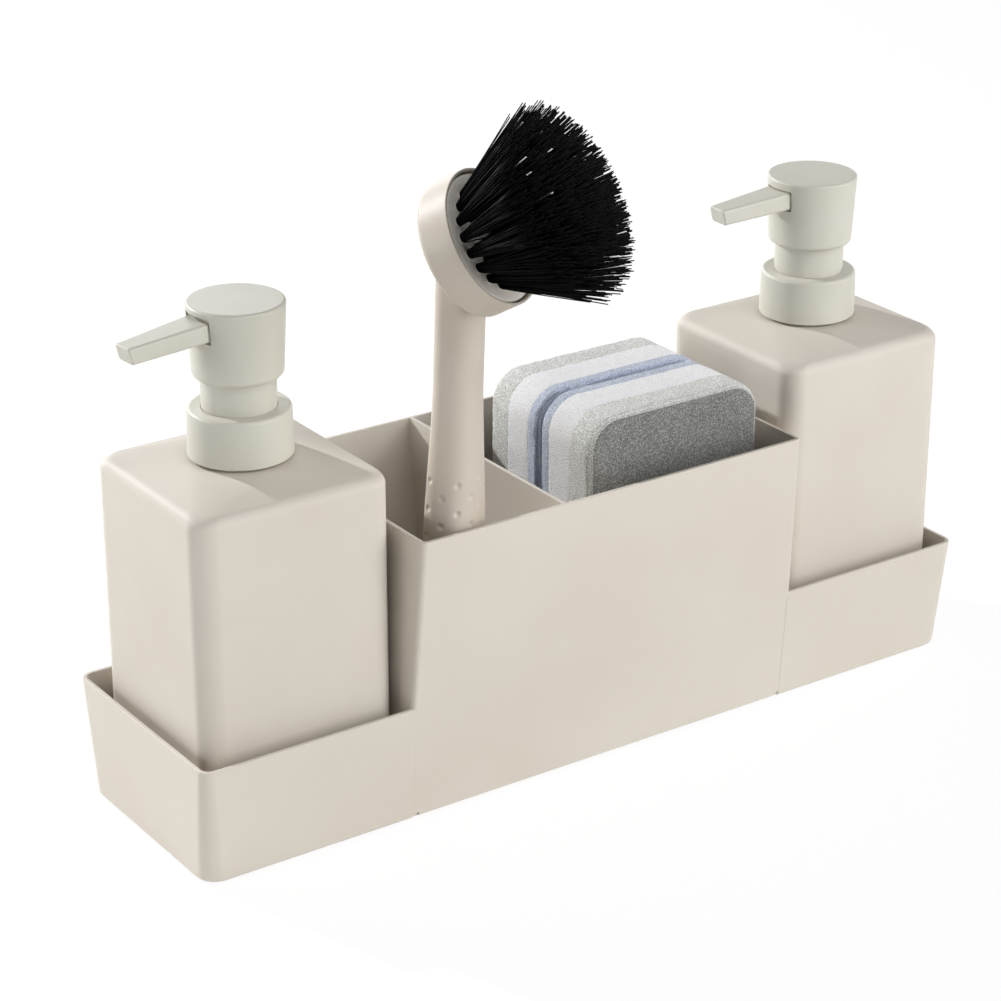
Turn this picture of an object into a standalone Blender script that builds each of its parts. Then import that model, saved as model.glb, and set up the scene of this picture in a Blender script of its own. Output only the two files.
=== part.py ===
# Kitchen sink caddy: one moulded tray with a tall divided middle box, two pump dispensers standing
# in the end trays, a dish brush and two layered sponges in the box.
# Metres, +Z up. X runs along the caddy, -Y is its front, and the origin is on the surface it
# stands on. Lengths below count from the middle of the box until move_to_origin.

import math

import bmesh
import bpy
from mathutils import Matrix, Vector
from mathutils.geometry import delaunay_2d_cdt

# Fits shared by all pieces
CLEARANCE = 0.0003
CUT_OVERRUN = 0.004
WELD = 0.000001
TURN_WELD = 0.00001
TURN_STEPS = 32
INNER_TURN_STEPS = 20
CORNER_STEPS = 5

# Caddy body
BASE_LENGTH = 0.3275
RIM_LENGTH = 0.3300
BASE_DEPTH = 0.0828
FRONT_DRAFT = math.radians(4.2)
TRAY_HEIGHT = 0.0440
BOX_HEIGHT = 0.1074
BOX_WIDTH = 0.1672
BOX_TOP_WIDTH = 0.1632
WALL = 0.0014
FLOOR = 0.0025
DIVIDER_X = -0.0232
DIVIDER_THICKNESS = 0.0014
BASE_CORNER_RADIUS = 0.0070
RIM_CORNER_RADIUS = 0.0045
BOX_CORNER_RADIUS = 0.0022
HOLLOW_CORNER_RADIUS = 0.0009
RIM_ROUNDING = 0.0004
BASE_ROUNDING = 0.0010
SEAM_INSET = 0.0015
SEAM_TOP_DROP = 0.0020
BOX_BASE_STEP = 0.0003
NOTCH_WIDTH = 0.0026
NOTCH_HEIGHT = 0.0018

# Feet
FOOT_RADIUS = 0.0050
FOOT_STAND = 0.0010
FOOT_SINK = 0.0008
FOOT_INSET = 0.0110
FOOT_ROUNDING = 0.0002

# Bottles
BOTTLE_SIDE_GAP = 0.0021
BOTTLE_DEPTH = 0.0728
BOTTLE_HEIGHT = 0.1265
BOTTLE_CORNER_RADIUS = 0.0080
BOTTLE_TOP_ROUNDING = 0.0045
BOTTLE_BASE_ROUNDING = 0.0020
BOTTLE_WALL = 0.0018
BOTTLE_CORNER_STEPS = 5
SHOULDER_RISE = 0.0036
CROWN_RADIUS = 0.0195
CROWN_DROP = 0.0003
NECK_RADIUS = 0.0124
NECK_HEIGHT = 0.0115
NECK_BORE_RADIUS = 0.0098
LEFT_BOTTLE_SHIFT = 0.0014
RIGHT_BOTTLE_SHIFT = 0.0007

# Screw thread between neck and collar
THREAD_PITCH = 0.0042
THREAD_TURNS = 1.25
THREAD_RADIUS = 0.0013
THREAD_POINTS_PER_TURN = 14

# Collar
COLLAR_RADIUS = 0.0179
COLLAR_TOP_RADIUS = 0.0176
COLLAR_HEIGHT = 0.0168
COLLAR_BORE_RADIUS = 0.0145
COLLAR_PLATE = 0.0016
COLLAR_ROUNDING = 0.0012
COLLAR_SKIRT_GAP = 0.0005

# Pump parts inside the collar and the bottle
GASKET_THICKNESS = 0.0009
GASKET_RADIUS = 0.0132
FLANGE_THICKNESS = 0.0011
FLANGE_RADIUS = 0.0138
CYLINDER_RADIUS = 0.0083
CYLINDER_BORE_RADIUS = 0.0070
CYLINDER_LENGTH = 0.0460
SPRING_LEDGE_RADIUS = 0.0040
TAIL_RADIUS = 0.0046
TAIL_LENGTH = 0.0080
TAIL_BORE_RADIUS = 0.0016
DIP_TUBE_RADIUS = 0.0030
DIP_TUBE_BORE_RADIUS = 0.0021
DIP_TUBE_SOCKET = 0.0060
DIP_TUBE_FLOOR_GAP = 0.0030
BALL_RADIUS = 0.0024
BALL_CHAMBER_HEIGHT = 0.0072
BALL_CAGE_RADIUS = 0.0019
BALL_CAGE_THICKNESS = 0.0010
GUIDE_RADIUS = 0.01275
GUIDE_WALL = 0.0014
GUIDE_HEIGHT = 0.0165
GUIDE_PLATE = 0.0012
STEM_RADIUS = 0.0039
STEM_BORE_RADIUS = 0.0021
STEM_CLEARANCE = 0.0004
PISTON_LENGTH = 0.0060
PISTON_CLEARANCE = 0.0002
STEM_FOOT_THICKNESS = 0.0010
STEM_FOOT_RADIUS = 0.0058
SPRING_WIRE_RADIUS = 0.00045
SPRING_RADIUS = 0.0054
SPRING_CURLS = 7
SPRING_POINTS_PER_CURL = 8

# Pump head
HEAD_TOP_RADIUS = 0.0166
HEAD_BASE_RADIUS = 0.0154
HEAD_HEIGHT = 0.0258
HEAD_LIFT = 0.0110
HEAD_WALL = 0.0015
HEAD_TOP_WALL = 0.0050
HEAD_TOP_ROUNDING = 0.0012
HEAD_BASE_ROUNDING = 0.0016
SOCKET_RADIUS = 0.0062
SOCKET_LENGTH = 0.0120
LEFT_SPOUT_TURN = math.radians(5.1)
RIGHT_SPOUT_TURN = math.radians(-1.4)
SPOUT_REACH = 0.0443
SPOUT_UNDERCUT = 0.0015
SPOUT_ROOT_WIDTH = 0.0122
SPOUT_TIP_WIDTH = 0.0084
SPOUT_ROOT_HEIGHT = 0.0067
SPOUT_TIP_HEIGHT = 0.0059
SPOUT_ROOT_DROP = 0.0037
SPOUT_TIP_DROP = 0.0060
SPOUT_ROUNDING = 0.0010
SPOUT_BORE_RADIUS = 0.0016
SPOUT_OUTLET_RADIUS = 0.0014
SPOUT_OUTLET_INSET = 0.0046

# Dish brush
BRUSH_X = -0.0585
BRUSH_TURN = math.radians(30.3)
BRUSH_SIDE_LEAN = math.radians(0.65)
BRUSH_WALL_GAP = 0.0015
HANDLE_FULLNESS = 2.6
HANDLE_CORNER_SHARE = 1.12
HANDLE_LENGTH = 0.2007
GRIP_WIDTH = 0.0240
GRIP_THICKNESS = 0.0182
HANDLE_WIDTH = 0.0194
HANDLE_THICKNESS = 0.0146
GRIP_LENGTH = 0.1020
HANDLE_END_ROUNDING = 0.0050
HANDLE_SIDES = 24
HEAD_TILT = math.radians(56.5)
CUP_RADIUS = 0.0236
CUP_DEPTH = 0.0130
CUP_BACK_ROUNDING = 0.0025
CUP_LIP = 0.0010
CUP_RECESS = 0.0041
PLATE_THICKNESS = 0.0022
BRISTLE_BACKING = 0.0010

# Bristles
TUFT_RING_RADII = (0.0, 0.0056, 0.0110, 0.0164)
TUFT_RING_COUNTS = (1, 7, 13, 19)
STRANDS_PER_TUFT = 8
STRAND_RADIUS = 0.00030
TUFT_RADIUS = 0.00130
BRISTLE_LENGTH = 0.0385
BRISTLE_EDGE_LENGTH = 0.0330
BRISTLE_SPREAD_RADIUS = 0.0295
TIP_TUFT_RADIUS = 0.0050
STRAND_TIP_SHARE = 0.6

# Sponges
SPONGE_WIDTH = 0.0770
SPONGE_HEIGHT = 0.1245
SPONGE_FRONT_Y = -0.0330
SPONGE_SIDE_GAP = 0.0045
SCRUB_THICKNESS = 0.0125
FOAM_THICKNESS = 0.0130
SOFT_THICKNESS = 0.0060
SPONGE_CORNER_RADIUS = 0.0130
SPONGE_EDGE_ROUNDING = 0.0040
SPONGE_GLUE_DRAW = 0.0005
SPONGE_GAP = 0.0006

# Places that follow from the sizes above
BASE_Z = FOOT_STAND
RIM_Z = BASE_Z + TRAY_HEIGHT
BOX_TOP_Z = BASE_Z + BOX_HEIGHT
FLOOR_Z = BASE_Z + FLOOR
STAND_Z = FLOOR_Z + CLEARANCE
SIDE_LEAN = (BOX_WIDTH - BOX_TOP_WIDTH) / 2 / (BOX_TOP_Z - RIM_Z)
END_LEAN = (RIM_LENGTH - BASE_LENGTH) / 2 / TRAY_HEIGHT

# A tray's room runs from the box, where that is widest, to the tray's end wall at the floor
ROOM_START = max(BOX_WIDTH, BOX_TOP_WIDTH) / 2
ROOM_END = BASE_LENGTH / 2 + FLOOR * END_LEAN - WALL
BOTTLE_WIDTH = ROOM_END - ROOM_START - 2 * BOTTLE_SIDE_GAP
SPONGE_X = min(BOX_WIDTH, BOX_TOP_WIDTH) / 2 - WALL - SPONGE_SIDE_GAP - SPONGE_WIDTH / 2

BOTTLE_TOP_Z = STAND_Z + BOTTLE_HEIGHT
NECK_BASE_Z = BOTTLE_TOP_Z + SHOULDER_RISE
NECK_TOP_Z = NECK_BASE_Z + NECK_HEIGHT
GASKET_Z = NECK_TOP_Z + CLEARANCE
FLANGE_Z = GASKET_Z + GASKET_THICKNESS + CLEARANCE
GUIDE_Z = FLANGE_Z + FLANGE_THICKNESS + CLEARANCE
PLATE_Z = GUIDE_Z + GUIDE_PLATE + CLEARANCE
COLLAR_TOP_Z = PLATE_Z + COLLAR_PLATE
COLLAR_Z = COLLAR_TOP_Z - COLLAR_HEIGHT
GUIDE_TOP_Z = GUIDE_Z + GUIDE_HEIGHT
HEAD_Z = COLLAR_TOP_Z + HEAD_LIFT
HEAD_TOP_Z = HEAD_Z + HEAD_HEIGHT
CYLINDER_END_Z = FLANGE_Z - CYLINDER_LENGTH
TAIL_END_Z = CYLINDER_END_Z - TAIL_LENGTH
BALL_SEAT_Z = CYLINDER_END_Z
SPRING_LEDGE_Z = BALL_SEAT_Z + BALL_CHAMBER_HEIGHT
PISTON_TOP_Z = GUIDE_Z - CLEARANCE
PISTON_Z = PISTON_TOP_Z - PISTON_LENGTH
STEM_FOOT_Z = PISTON_Z - CLEARANCE - STEM_FOOT_THICKNESS
SPRING_TOP_Z = STEM_FOOT_Z - CLEARANCE
SPRING_BOTTOM_Z = SPRING_LEDGE_Z + CLEARANCE
SOCKET_CEILING_Z = HEAD_TOP_Z - HEAD_TOP_WALL
SPOUT_ROOT_Z = HEAD_TOP_Z - SPOUT_ROOT_DROP - SPOUT_ROOT_HEIGHT / 2
SPOUT_TIP_Z = HEAD_TOP_Z - SPOUT_TIP_DROP - SPOUT_TIP_HEIGHT / 2

# The origin is below the middle of the whole outline, which the brush head widens to the front
ORIGIN_X = -0.00056
ORIGIN_Y = -0.02428

# Colours in linear light
BEIGE = (0.67, 0.60, 0.51)
PUMP_BEIGE = (0.62, 0.61, 0.52)
CLEAR_WHITE = (0.80, 0.80, 0.78)
STEEL = (0.60, 0.60, 0.62)
SPONGE_GRAY = (0.34, 0.36, 0.34)
SPONGE_WHITE = (0.76, 0.76, 0.86)
SPONGE_BLUE = (0.20, 0.25, 0.37)
BRISTLE_BLACK = (0.008, 0.008, 0.008)
PLATE_WHITE = (0.62, 0.62, 0.58)
RUBBER_GRAY = (0.12, 0.12, 0.12)


def clear_scene():
    for obj in list(bpy.data.objects):
        bpy.data.objects.remove(obj, do_unlink=True)


def new_collection(name):
    collection = bpy.data.collections.new(name)
    bpy.context.scene.collection.children.link(collection)
    return collection


def material(name, colour, roughness, metallic=0.0):
    made = bpy.data.materials.get(name)
    if made:
        return made
    made = bpy.data.materials.new(name)
    made.use_nodes = True
    shader = made.node_tree.nodes["Principled BSDF"]
    shader.inputs["Base Color"].default_value = (*colour, 1.0)
    shader.inputs["Roughness"].default_value = roughness
    shader.inputs["Metallic"].default_value = metallic
    return made


clear_scene()
PARTS = new_collection("sink_caddy")
CUTTERS = new_collection("cutters")

MOULDED = material("moulded_caddy", BEIGE, 0.45)
BOTTLE_PLASTIC = material("bottle_plastic", BEIGE, 0.45)
PUMP_PLASTIC = material("pump_plastic", PUMP_BEIGE, 0.40)
CLEAR_PLASTIC = material("inner_pump_plastic", CLEAR_WHITE, 0.35)
SPRING_STEEL = material("spring_steel", STEEL, 0.25, 1.0)
SCRUB = material("scrub_layer", SPONGE_GRAY, 0.9)
FOAM = material("foam_layer", SPONGE_WHITE, 0.9)
SOFT = material("soft_layer", SPONGE_BLUE, 0.9)
NYLON = material("black_nylon", BRISTLE_BLACK, 0.45)
PLATE = material("brush_plate", PLATE_WHITE, 0.5)
RUBBER = material("foot_rubber", RUBBER_GRAY, 0.8)


def as_object(name, mesh, finish):
    """A cutter has no finish."""
    obj = bpy.data.objects.new(name, mesh)
    if finish:
        mesh.materials.append(finish)
        PARTS.objects.link(obj)
    else:
        obj.hide_render = True
        obj.display_type = "WIRE"
        CUTTERS.objects.link(obj)
    return obj


def mesh_from(name, shape, smooth=True):
    bmesh.ops.recalc_face_normals(shape, faces=shape.faces)
    mesh = bpy.data.meshes.new(name)
    shape.to_mesh(mesh)
    shape.free()
    if smooth:
        mesh.shade_smooth()
        mesh.set_sharp_from_angle(angle=math.radians(30))
    return mesh


def polar(centre, radius, angle, z):
    return Vector((centre[0] + radius * math.cos(angle), centre[1] + radius * math.sin(angle), z))


def rounded_ring(centre, half_x, half_y, radius, z, steps=CORNER_STEPS):
    """Points of a rounded rectangle at height z, anticlockwise seen from above."""
    corners = ((1, 1, 0), (-1, 1, 90), (-1, -1, 180), (1, -1, 270))
    ring = []
    for sign_x, sign_y, start in corners:
        middle_x = centre[0] + sign_x * (half_x - radius)
        middle_y = centre[1] + sign_y * (half_y - radius)
        for step in range(steps + 1):
            angle = math.radians(start + 90 * step / steps)
            ring.append(polar((middle_x, middle_y), radius, angle, z))
    return ring


def circle_ring(centre, radius, z, count, start=0.0):
    return [polar(centre, radius, start + 2 * math.pi * step / count, z) for step in range(count)]


def loft(name, rings, finish):
    """A closed solid through rings of equal count, capped at the first and the last."""
    shape = bmesh.new()
    rows = [[shape.verts.new(point) for point in ring] for ring in rings]
    count = len(rows[0])
    for lower, upper in zip(rows, rows[1:]):
        for at in range(count):
            after = (at + 1) % count
            shape.faces.new((lower[at], lower[after], upper[after], upper[at]))
    shape.faces.new(reversed(rows[0]))
    shape.faces.new(rows[-1])
    return as_object(name, mesh_from(name, shape), finish)


def turned(name, outline, finish, centre=(0.0, 0.0), steps=TURN_STEPS, closed=True):
    """A profile of (radius, height) turned about Z; an open one starts and ends on the axis."""
    shape = bmesh.new()
    verts = [shape.verts.new((radius, 0.0, height)) for radius, height in outline]
    for first, second in zip(verts, verts[1:]):
        shape.edges.new((first, second))
    if closed:
        shape.edges.new((verts[-1], verts[0]))
    mesh = bpy.data.meshes.new(name)
    shape.to_mesh(mesh)
    shape.free()
    obj = as_object(name, mesh, finish)
    obj.location = (centre[0], centre[1], 0.0)
    screw = obj.modifiers.new("turn", "SCREW")
    screw.axis = "Z"
    screw.angle = 2 * math.pi
    screw.steps = steps
    screw.render_steps = steps
    screw.use_smooth_shade = True
    screw.use_merge_vertices = True
    screw.merge_threshold = TURN_WELD
    return obj


def block(name, low, high, finish=None):
    """A box between two corners."""
    shape = bmesh.new()
    bmesh.ops.create_cube(shape, size=1.0)
    size = Vector(high) - Vector(low)
    middle = (Vector(high) + Vector(low)) / 2
    bmesh.ops.scale(shape, vec=size, verts=shape.verts)
    bmesh.ops.translate(shape, vec=middle, verts=shape.verts)
    return as_object(name, mesh_from(name, shape, smooth=False), finish)


def tube(name, points, radius, sides_level, finish):
    """A round wire along points, with filled ends."""
    curve = bpy.data.curves.new(name, "CURVE")
    curve.dimensions = "3D"
    curve.bevel_depth = radius
    curve.bevel_resolution = sides_level
    curve.use_fill_caps = True
    spline = curve.splines.new("POLY")
    spline.points.add(len(points) - 1)
    for place, point in zip(spline.points, points):
        place.co = (*point, 1.0)
    obj = bpy.data.objects.new(name, curve)
    if finish:
        curve.materials.append(finish)
    PARTS.objects.link(obj)
    return obj


def meshed(curve_object, finish=None):
    """The mesh of a curve object with its caps welded; it takes the curve's place."""
    bpy.context.view_layer.update()
    graph = bpy.context.evaluated_depsgraph_get()
    mesh = bpy.data.meshes.new_from_object(curve_object.evaluated_get(graph))
    shape = bmesh.new()
    shape.from_mesh(mesh)
    bmesh.ops.remove_doubles(shape, verts=shape.verts, dist=WELD)
    bmesh.ops.recalc_face_normals(shape, faces=shape.faces)
    shape.to_mesh(mesh)
    shape.free()
    name = curve_object.name
    place = curve_object.matrix_world.copy()
    bpy.data.objects.remove(curve_object, do_unlink=True)
    mesh.materials.clear()
    obj = as_object(name, mesh, finish)
    obj.matrix_world = place
    return obj


def combine(obj, other, operation):
    change = obj.modifiers.new(other.name, "BOOLEAN")
    change.operation = operation
    change.solver = "EXACT"
    change.object = other
    return obj


def cut(obj, other):
    return combine(obj, other, "DIFFERENCE")


def join(obj, other):
    return combine(obj, other, "UNION")


def arc(centre_r, centre_z, radius, first, last, steps):
    """Profile points on an arc; angles in degrees from the radial direction."""
    points = []
    for step in range(steps + 1):
        angle = math.radians(first + (last - first) * step / steps)
        points.append((centre_r + radius * math.cos(angle), centre_z + radius * math.sin(angle)))
    return points


# Caddy body


def half_depth(z):
    """The outer half depth of tray and box at a height: both share one drafted front plane."""
    return BASE_DEPTH / 2 + (z - BASE_Z) * math.tan(FRONT_DRAFT)


def box_half_width(z):
    return BOX_WIDTH / 2 - max(z - RIM_Z, 0.0) * SIDE_LEAN


def tray_end(z):
    return BASE_LENGTH / 2 + (z - BASE_Z) * END_LEAN


def tray_ring(sign, z, inset, radius, inner_x):
    low, high = sorted((sign * inner_x, sign * (tray_end(z) - inset)))
    return rounded_ring(((low + high) / 2, 0.0), (high - low) / 2, half_depth(z) - inset, radius, z)


def edge_insets(rounding, steps=3):
    """Pairs of inset and drop along a rounded edge, from its outer side to its top."""
    pairs = []
    for step in range(steps + 1):
        angle = math.radians(90 * step / steps)
        pairs.append((rounding * (1 - math.cos(angle)), rounding * (1 - math.sin(angle))))
    return pairs


def tray_shell(side, sign):
    """An end tray with its inner end open, so that the box closes it."""
    inner_x = BOX_WIDTH / 2 - SEAM_INSET - BASE_CORNER_RADIUS * 2
    rings = []
    for inset, drop in reversed(edge_insets(BASE_ROUNDING)):
        rings.append(tray_ring(sign, BASE_Z + drop, inset, BASE_CORNER_RADIUS, inner_x))
    for inset, drop in edge_insets(RIM_ROUNDING):
        rings.append(tray_ring(sign, RIM_Z - drop, inset, RIM_CORNER_RADIUS, inner_x))
    outer = loft(f"tray_block_{side}", rings, None)
    cavity_x = inner_x - CUT_OVERRUN
    cavity = []
    cavity.append(tray_ring(sign, FLOOR_Z, WALL, BASE_CORNER_RADIUS - WALL, cavity_x))
    for z in (RIM_Z, RIM_Z + CUT_OVERRUN):
        cavity.append(tray_ring(sign, z, WALL, RIM_CORNER_RADIUS - WALL, cavity_x))
    cut(outer, loft(f"tray_hollow_{side}", cavity, None))
    seam_x = BOX_WIDTH / 2 - SEAM_INSET
    seam_tab_x = BOX_WIDTH / 2 - BOX_CORNER_RADIUS
    far_y = half_depth(RIM_Z) + CUT_OVERRUN
    for name, outer_x, low_z, high_z in (
        ("seam", seam_x, BASE_Z - CUT_OVERRUN, RIM_Z - SEAM_TOP_DROP),
        ("seam_tab", seam_tab_x, BASE_Z - CUT_OVERRUN, RIM_Z + CUT_OVERRUN),
    ):
        low_x, high_x = sorted((sign * outer_x, sign * (inner_x - CUT_OVERRUN)))
        cut(outer, block(f"{name}_cut_{side}", (low_x, -far_y, low_z), (high_x, far_y, high_z)))
    return outer


def box_ring(z, inset):
    half_x = box_half_width(z) - inset
    return rounded_ring((0.0, 0.0), half_x, half_depth(z) - inset, BOX_CORNER_RADIUS, z)


def box_block():
    """The tall middle box as a solid block with rounded upright corners."""
    rings = []
    base_z = BASE_Z + BOX_BASE_STEP
    for z, inset in ((base_z, BASE_ROUNDING / 2), (base_z + BASE_ROUNDING / 2, 0.0), (RIM_Z, 0.0)):
        rings.append(box_ring(z, inset))
    for inset, drop in edge_insets(RIM_ROUNDING):
        rings.append(box_ring(BOX_TOP_Z - drop, inset))
    return loft("caddy_body", rings, MOULDED)


def box_hollow(name, low_x_at, high_x_at):
    """A compartment's cutter; its side places are functions of height."""
    rings = []
    radius = HOLLOW_CORNER_RADIUS
    for z in (FLOOR_Z, RIM_Z, BOX_TOP_Z + CUT_OVERRUN):
        low, high = low_x_at(z), high_x_at(z)
        middle = ((low + high) / 2, 0.0)
        rings.append(rounded_ring(middle, (high - low) / 2, half_depth(z) - WALL, radius, z))
    return loft(name, rings, None)


def foot_places():
    x = BASE_LENGTH / 2 - FOOT_INSET
    y = BASE_DEPTH / 2 - FOOT_INSET
    return {
        "foot_front_left": (-x, -y),
        "foot_front_right": (x, -y),
        "foot_rear_left": (-x, y),
        "foot_rear_right": (x, y),
    }


def make_caddy():
    body = box_block()
    for side, sign in (("left", -1), ("right", 1)):
        join(body, tray_shell(side, sign))
    left_face = DIVIDER_X - DIVIDER_THICKNESS / 2
    right_face = DIVIDER_X + DIVIDER_THICKNESS / 2
    cut(body, box_hollow("brush_hollow", lambda z: WALL - box_half_width(z), lambda z: left_face))
    cut(body, box_hollow("sponge_hollow", lambda z: right_face, lambda z: box_half_width(z) - WALL))
    notch_x = BOX_WIDTH / 2 - SEAM_INSET
    for side_x in (-1, 1):
        for side_y in (-1, 1):
            low_x, high_x = sorted((side_x * notch_x, side_x * (notch_x - NOTCH_WIDTH)))
            low_y, high_y = sorted((side_y * (half_depth(BASE_Z) - WALL / 2), side_y * half_depth(RIM_Z)))
            name = f"notch_{side_x + 1}_{side_y + 1}"
            low = (low_x, low_y, BASE_Z - CUT_OVERRUN)
            cut(body, block(name, low, (high_x, high_y, BASE_Z + NOTCH_HEIGHT)))
    for name, place in foot_places().items():
        pocket = [
            (0.0, BASE_Z + FOOT_SINK),
            (FOOT_RADIUS + CLEARANCE, BASE_Z + FOOT_SINK),
            (FOOT_RADIUS + CLEARANCE, BASE_Z - CUT_OVERRUN),
            (0.0, BASE_Z - CUT_OVERRUN),
        ]
        cut(body, turned(f"{name}_pocket", pocket, None, place, INNER_TURN_STEPS, closed=False))
        foot_top = BASE_Z + FOOT_SINK - CLEARANCE
        foot = [
            (0.0, foot_top),
            (FOOT_RADIUS, foot_top),
            (FOOT_RADIUS, FOOT_ROUNDING),
            (FOOT_RADIUS - FOOT_ROUNDING, 0.0),
            (0.0, 0.0),
        ]
        turned(name, foot, RUBBER, place, INNER_TURN_STEPS, closed=False)


# Dispensers


def helix(centre, radius, low_z, pitch, turns, per_turn):
    points = []
    for step in range(round(turns * per_turn) + 1):
        angle = 2 * math.pi * step / per_turn
        points.append(tuple(polar(centre, radius, angle, low_z + pitch * step / per_turn)))
    return points


def bottle_ring(centre, z, inset, radius):
    half_x = BOTTLE_WIDTH / 2 - inset
    half_y = BOTTLE_DEPTH / 2 - inset
    return rounded_ring(centre, half_x, half_y, radius, z, BOTTLE_CORNER_STEPS)


def neck_ring(centre, radius, z):
    """A circle whose points stand at the same corners as a bottle ring's."""
    ring = []
    for corner in range(4):
        for step in range(BOTTLE_CORNER_STEPS + 1):
            angle = math.radians(90 * corner + 90 * (step + 0.5) / (BOTTLE_CORNER_STEPS + 1))
            ring.append(polar(centre, radius, angle, z))
    return ring


def make_bottle(side, centre):
    """One blown shell: up its outside, over the neck's lip and down its inside."""
    rings = []
    corner = BOTTLE_CORNER_RADIUS
    for inset, drop in reversed(edge_insets(BOTTLE_BASE_ROUNDING, 2)):
        rings.append(bottle_ring(centre, STAND_Z + drop, inset, corner))
    for inset, drop in edge_insets(BOTTLE_TOP_ROUNDING, 4):
        rings.append(bottle_ring(centre, BOTTLE_TOP_Z - drop, inset, corner))
    rings.append(neck_ring(centre, CROWN_RADIUS, NECK_BASE_Z - CROWN_DROP))
    rings.append(neck_ring(centre, NECK_RADIUS, NECK_BASE_Z))
    rings.append(neck_ring(centre, NECK_RADIUS, NECK_TOP_Z))
    rings.append(neck_ring(centre, NECK_BORE_RADIUS, NECK_TOP_Z))
    rings.append(neck_ring(centre, NECK_BORE_RADIUS, NECK_BASE_Z - BOTTLE_WALL))
    inner_corner = corner - BOTTLE_WALL
    inner_rounding = BOTTLE_TOP_ROUNDING - BOTTLE_WALL
    for inset, drop in reversed(edge_insets(inner_rounding, 2)):
        z = BOTTLE_TOP_Z - BOTTLE_WALL - drop
        rings.append(bottle_ring(centre, z, BOTTLE_WALL + inset, inner_corner))
    rings.append(bottle_ring(centre, STAND_Z + BOTTLE_WALL, BOTTLE_WALL, inner_corner))
    bottle = loft(f"{side}_bottle", rings, BOTTLE_PLASTIC)
    thread = helix(
        centre,
        NECK_RADIUS,
        NECK_TOP_Z - THREAD_PITCH * (THREAD_TURNS + 0.5),
        THREAD_PITCH,
        THREAD_TURNS,
        THREAD_POINTS_PER_TURN,
    )
    return join(bottle, meshed(tube(f"{side}_neck_thread", thread, THREAD_RADIUS, 0, None)))


def make_collar(side, centre):
    opening = GUIDE_RADIUS + CLEARANCE
    edge = COLLAR_ROUNDING
    outline = arc(COLLAR_TOP_RADIUS - edge, COLLAR_TOP_Z - edge, edge, 90, 0, 3)
    outline += [(COLLAR_RADIUS, COLLAR_Z), (COLLAR_BORE_RADIUS, COLLAR_Z)]
    outline += [(COLLAR_BORE_RADIUS, PLATE_Z), (opening, PLATE_Z), (opening, COLLAR_TOP_Z)]
    collar = turned(f"{side}_collar", outline, PUMP_PLASTIC, centre)
    thread = helix(
        (0.0, 0.0),
        COLLAR_BORE_RADIUS,
        NECK_TOP_Z - THREAD_PITCH * (THREAD_TURNS + 1),
        THREAD_PITCH,
        THREAD_TURNS,
        THREAD_POINTS_PER_TURN,
    )
    ridge = meshed(tube(f"{side}_collar_thread", thread, THREAD_RADIUS, 0, None))
    ridge.location = (*centre, 0.0)
    return join(collar, ridge)


def make_housing(side, centre):
    """The pump cylinder: its flange rests on the gasket, its tail holds the dip tube."""
    inner_tail = DIP_TUBE_RADIUS + CLEARANCE
    outline = [
        (FLANGE_RADIUS, FLANGE_Z + FLANGE_THICKNESS),
        (FLANGE_RADIUS, FLANGE_Z),
        (CYLINDER_RADIUS, FLANGE_Z),
        (CYLINDER_RADIUS, CYLINDER_END_Z),
        (TAIL_RADIUS, CYLINDER_END_Z - (CYLINDER_RADIUS - TAIL_RADIUS) / 2),
        (TAIL_RADIUS, TAIL_END_Z),
        (inner_tail, TAIL_END_Z),
        (inner_tail, TAIL_END_Z + DIP_TUBE_SOCKET),
        (TAIL_BORE_RADIUS, TAIL_END_Z + DIP_TUBE_SOCKET),
        (TAIL_BORE_RADIUS, BALL_SEAT_Z),
        (SPRING_LEDGE_RADIUS, BALL_SEAT_Z + SPRING_LEDGE_RADIUS - TAIL_BORE_RADIUS),
        (SPRING_LEDGE_RADIUS, SPRING_LEDGE_Z - BALL_CAGE_THICKNESS),
        (BALL_CAGE_RADIUS, SPRING_LEDGE_Z - BALL_CAGE_THICKNESS),
        (BALL_CAGE_RADIUS, SPRING_LEDGE_Z),
        (CYLINDER_BORE_RADIUS, SPRING_LEDGE_Z),
        (CYLINDER_BORE_RADIUS, FLANGE_Z + FLANGE_THICKNESS),
    ]
    return turned(f"{side}_pump_cylinder", outline, CLEAR_PLASTIC, centre, INNER_TURN_STEPS)


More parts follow.
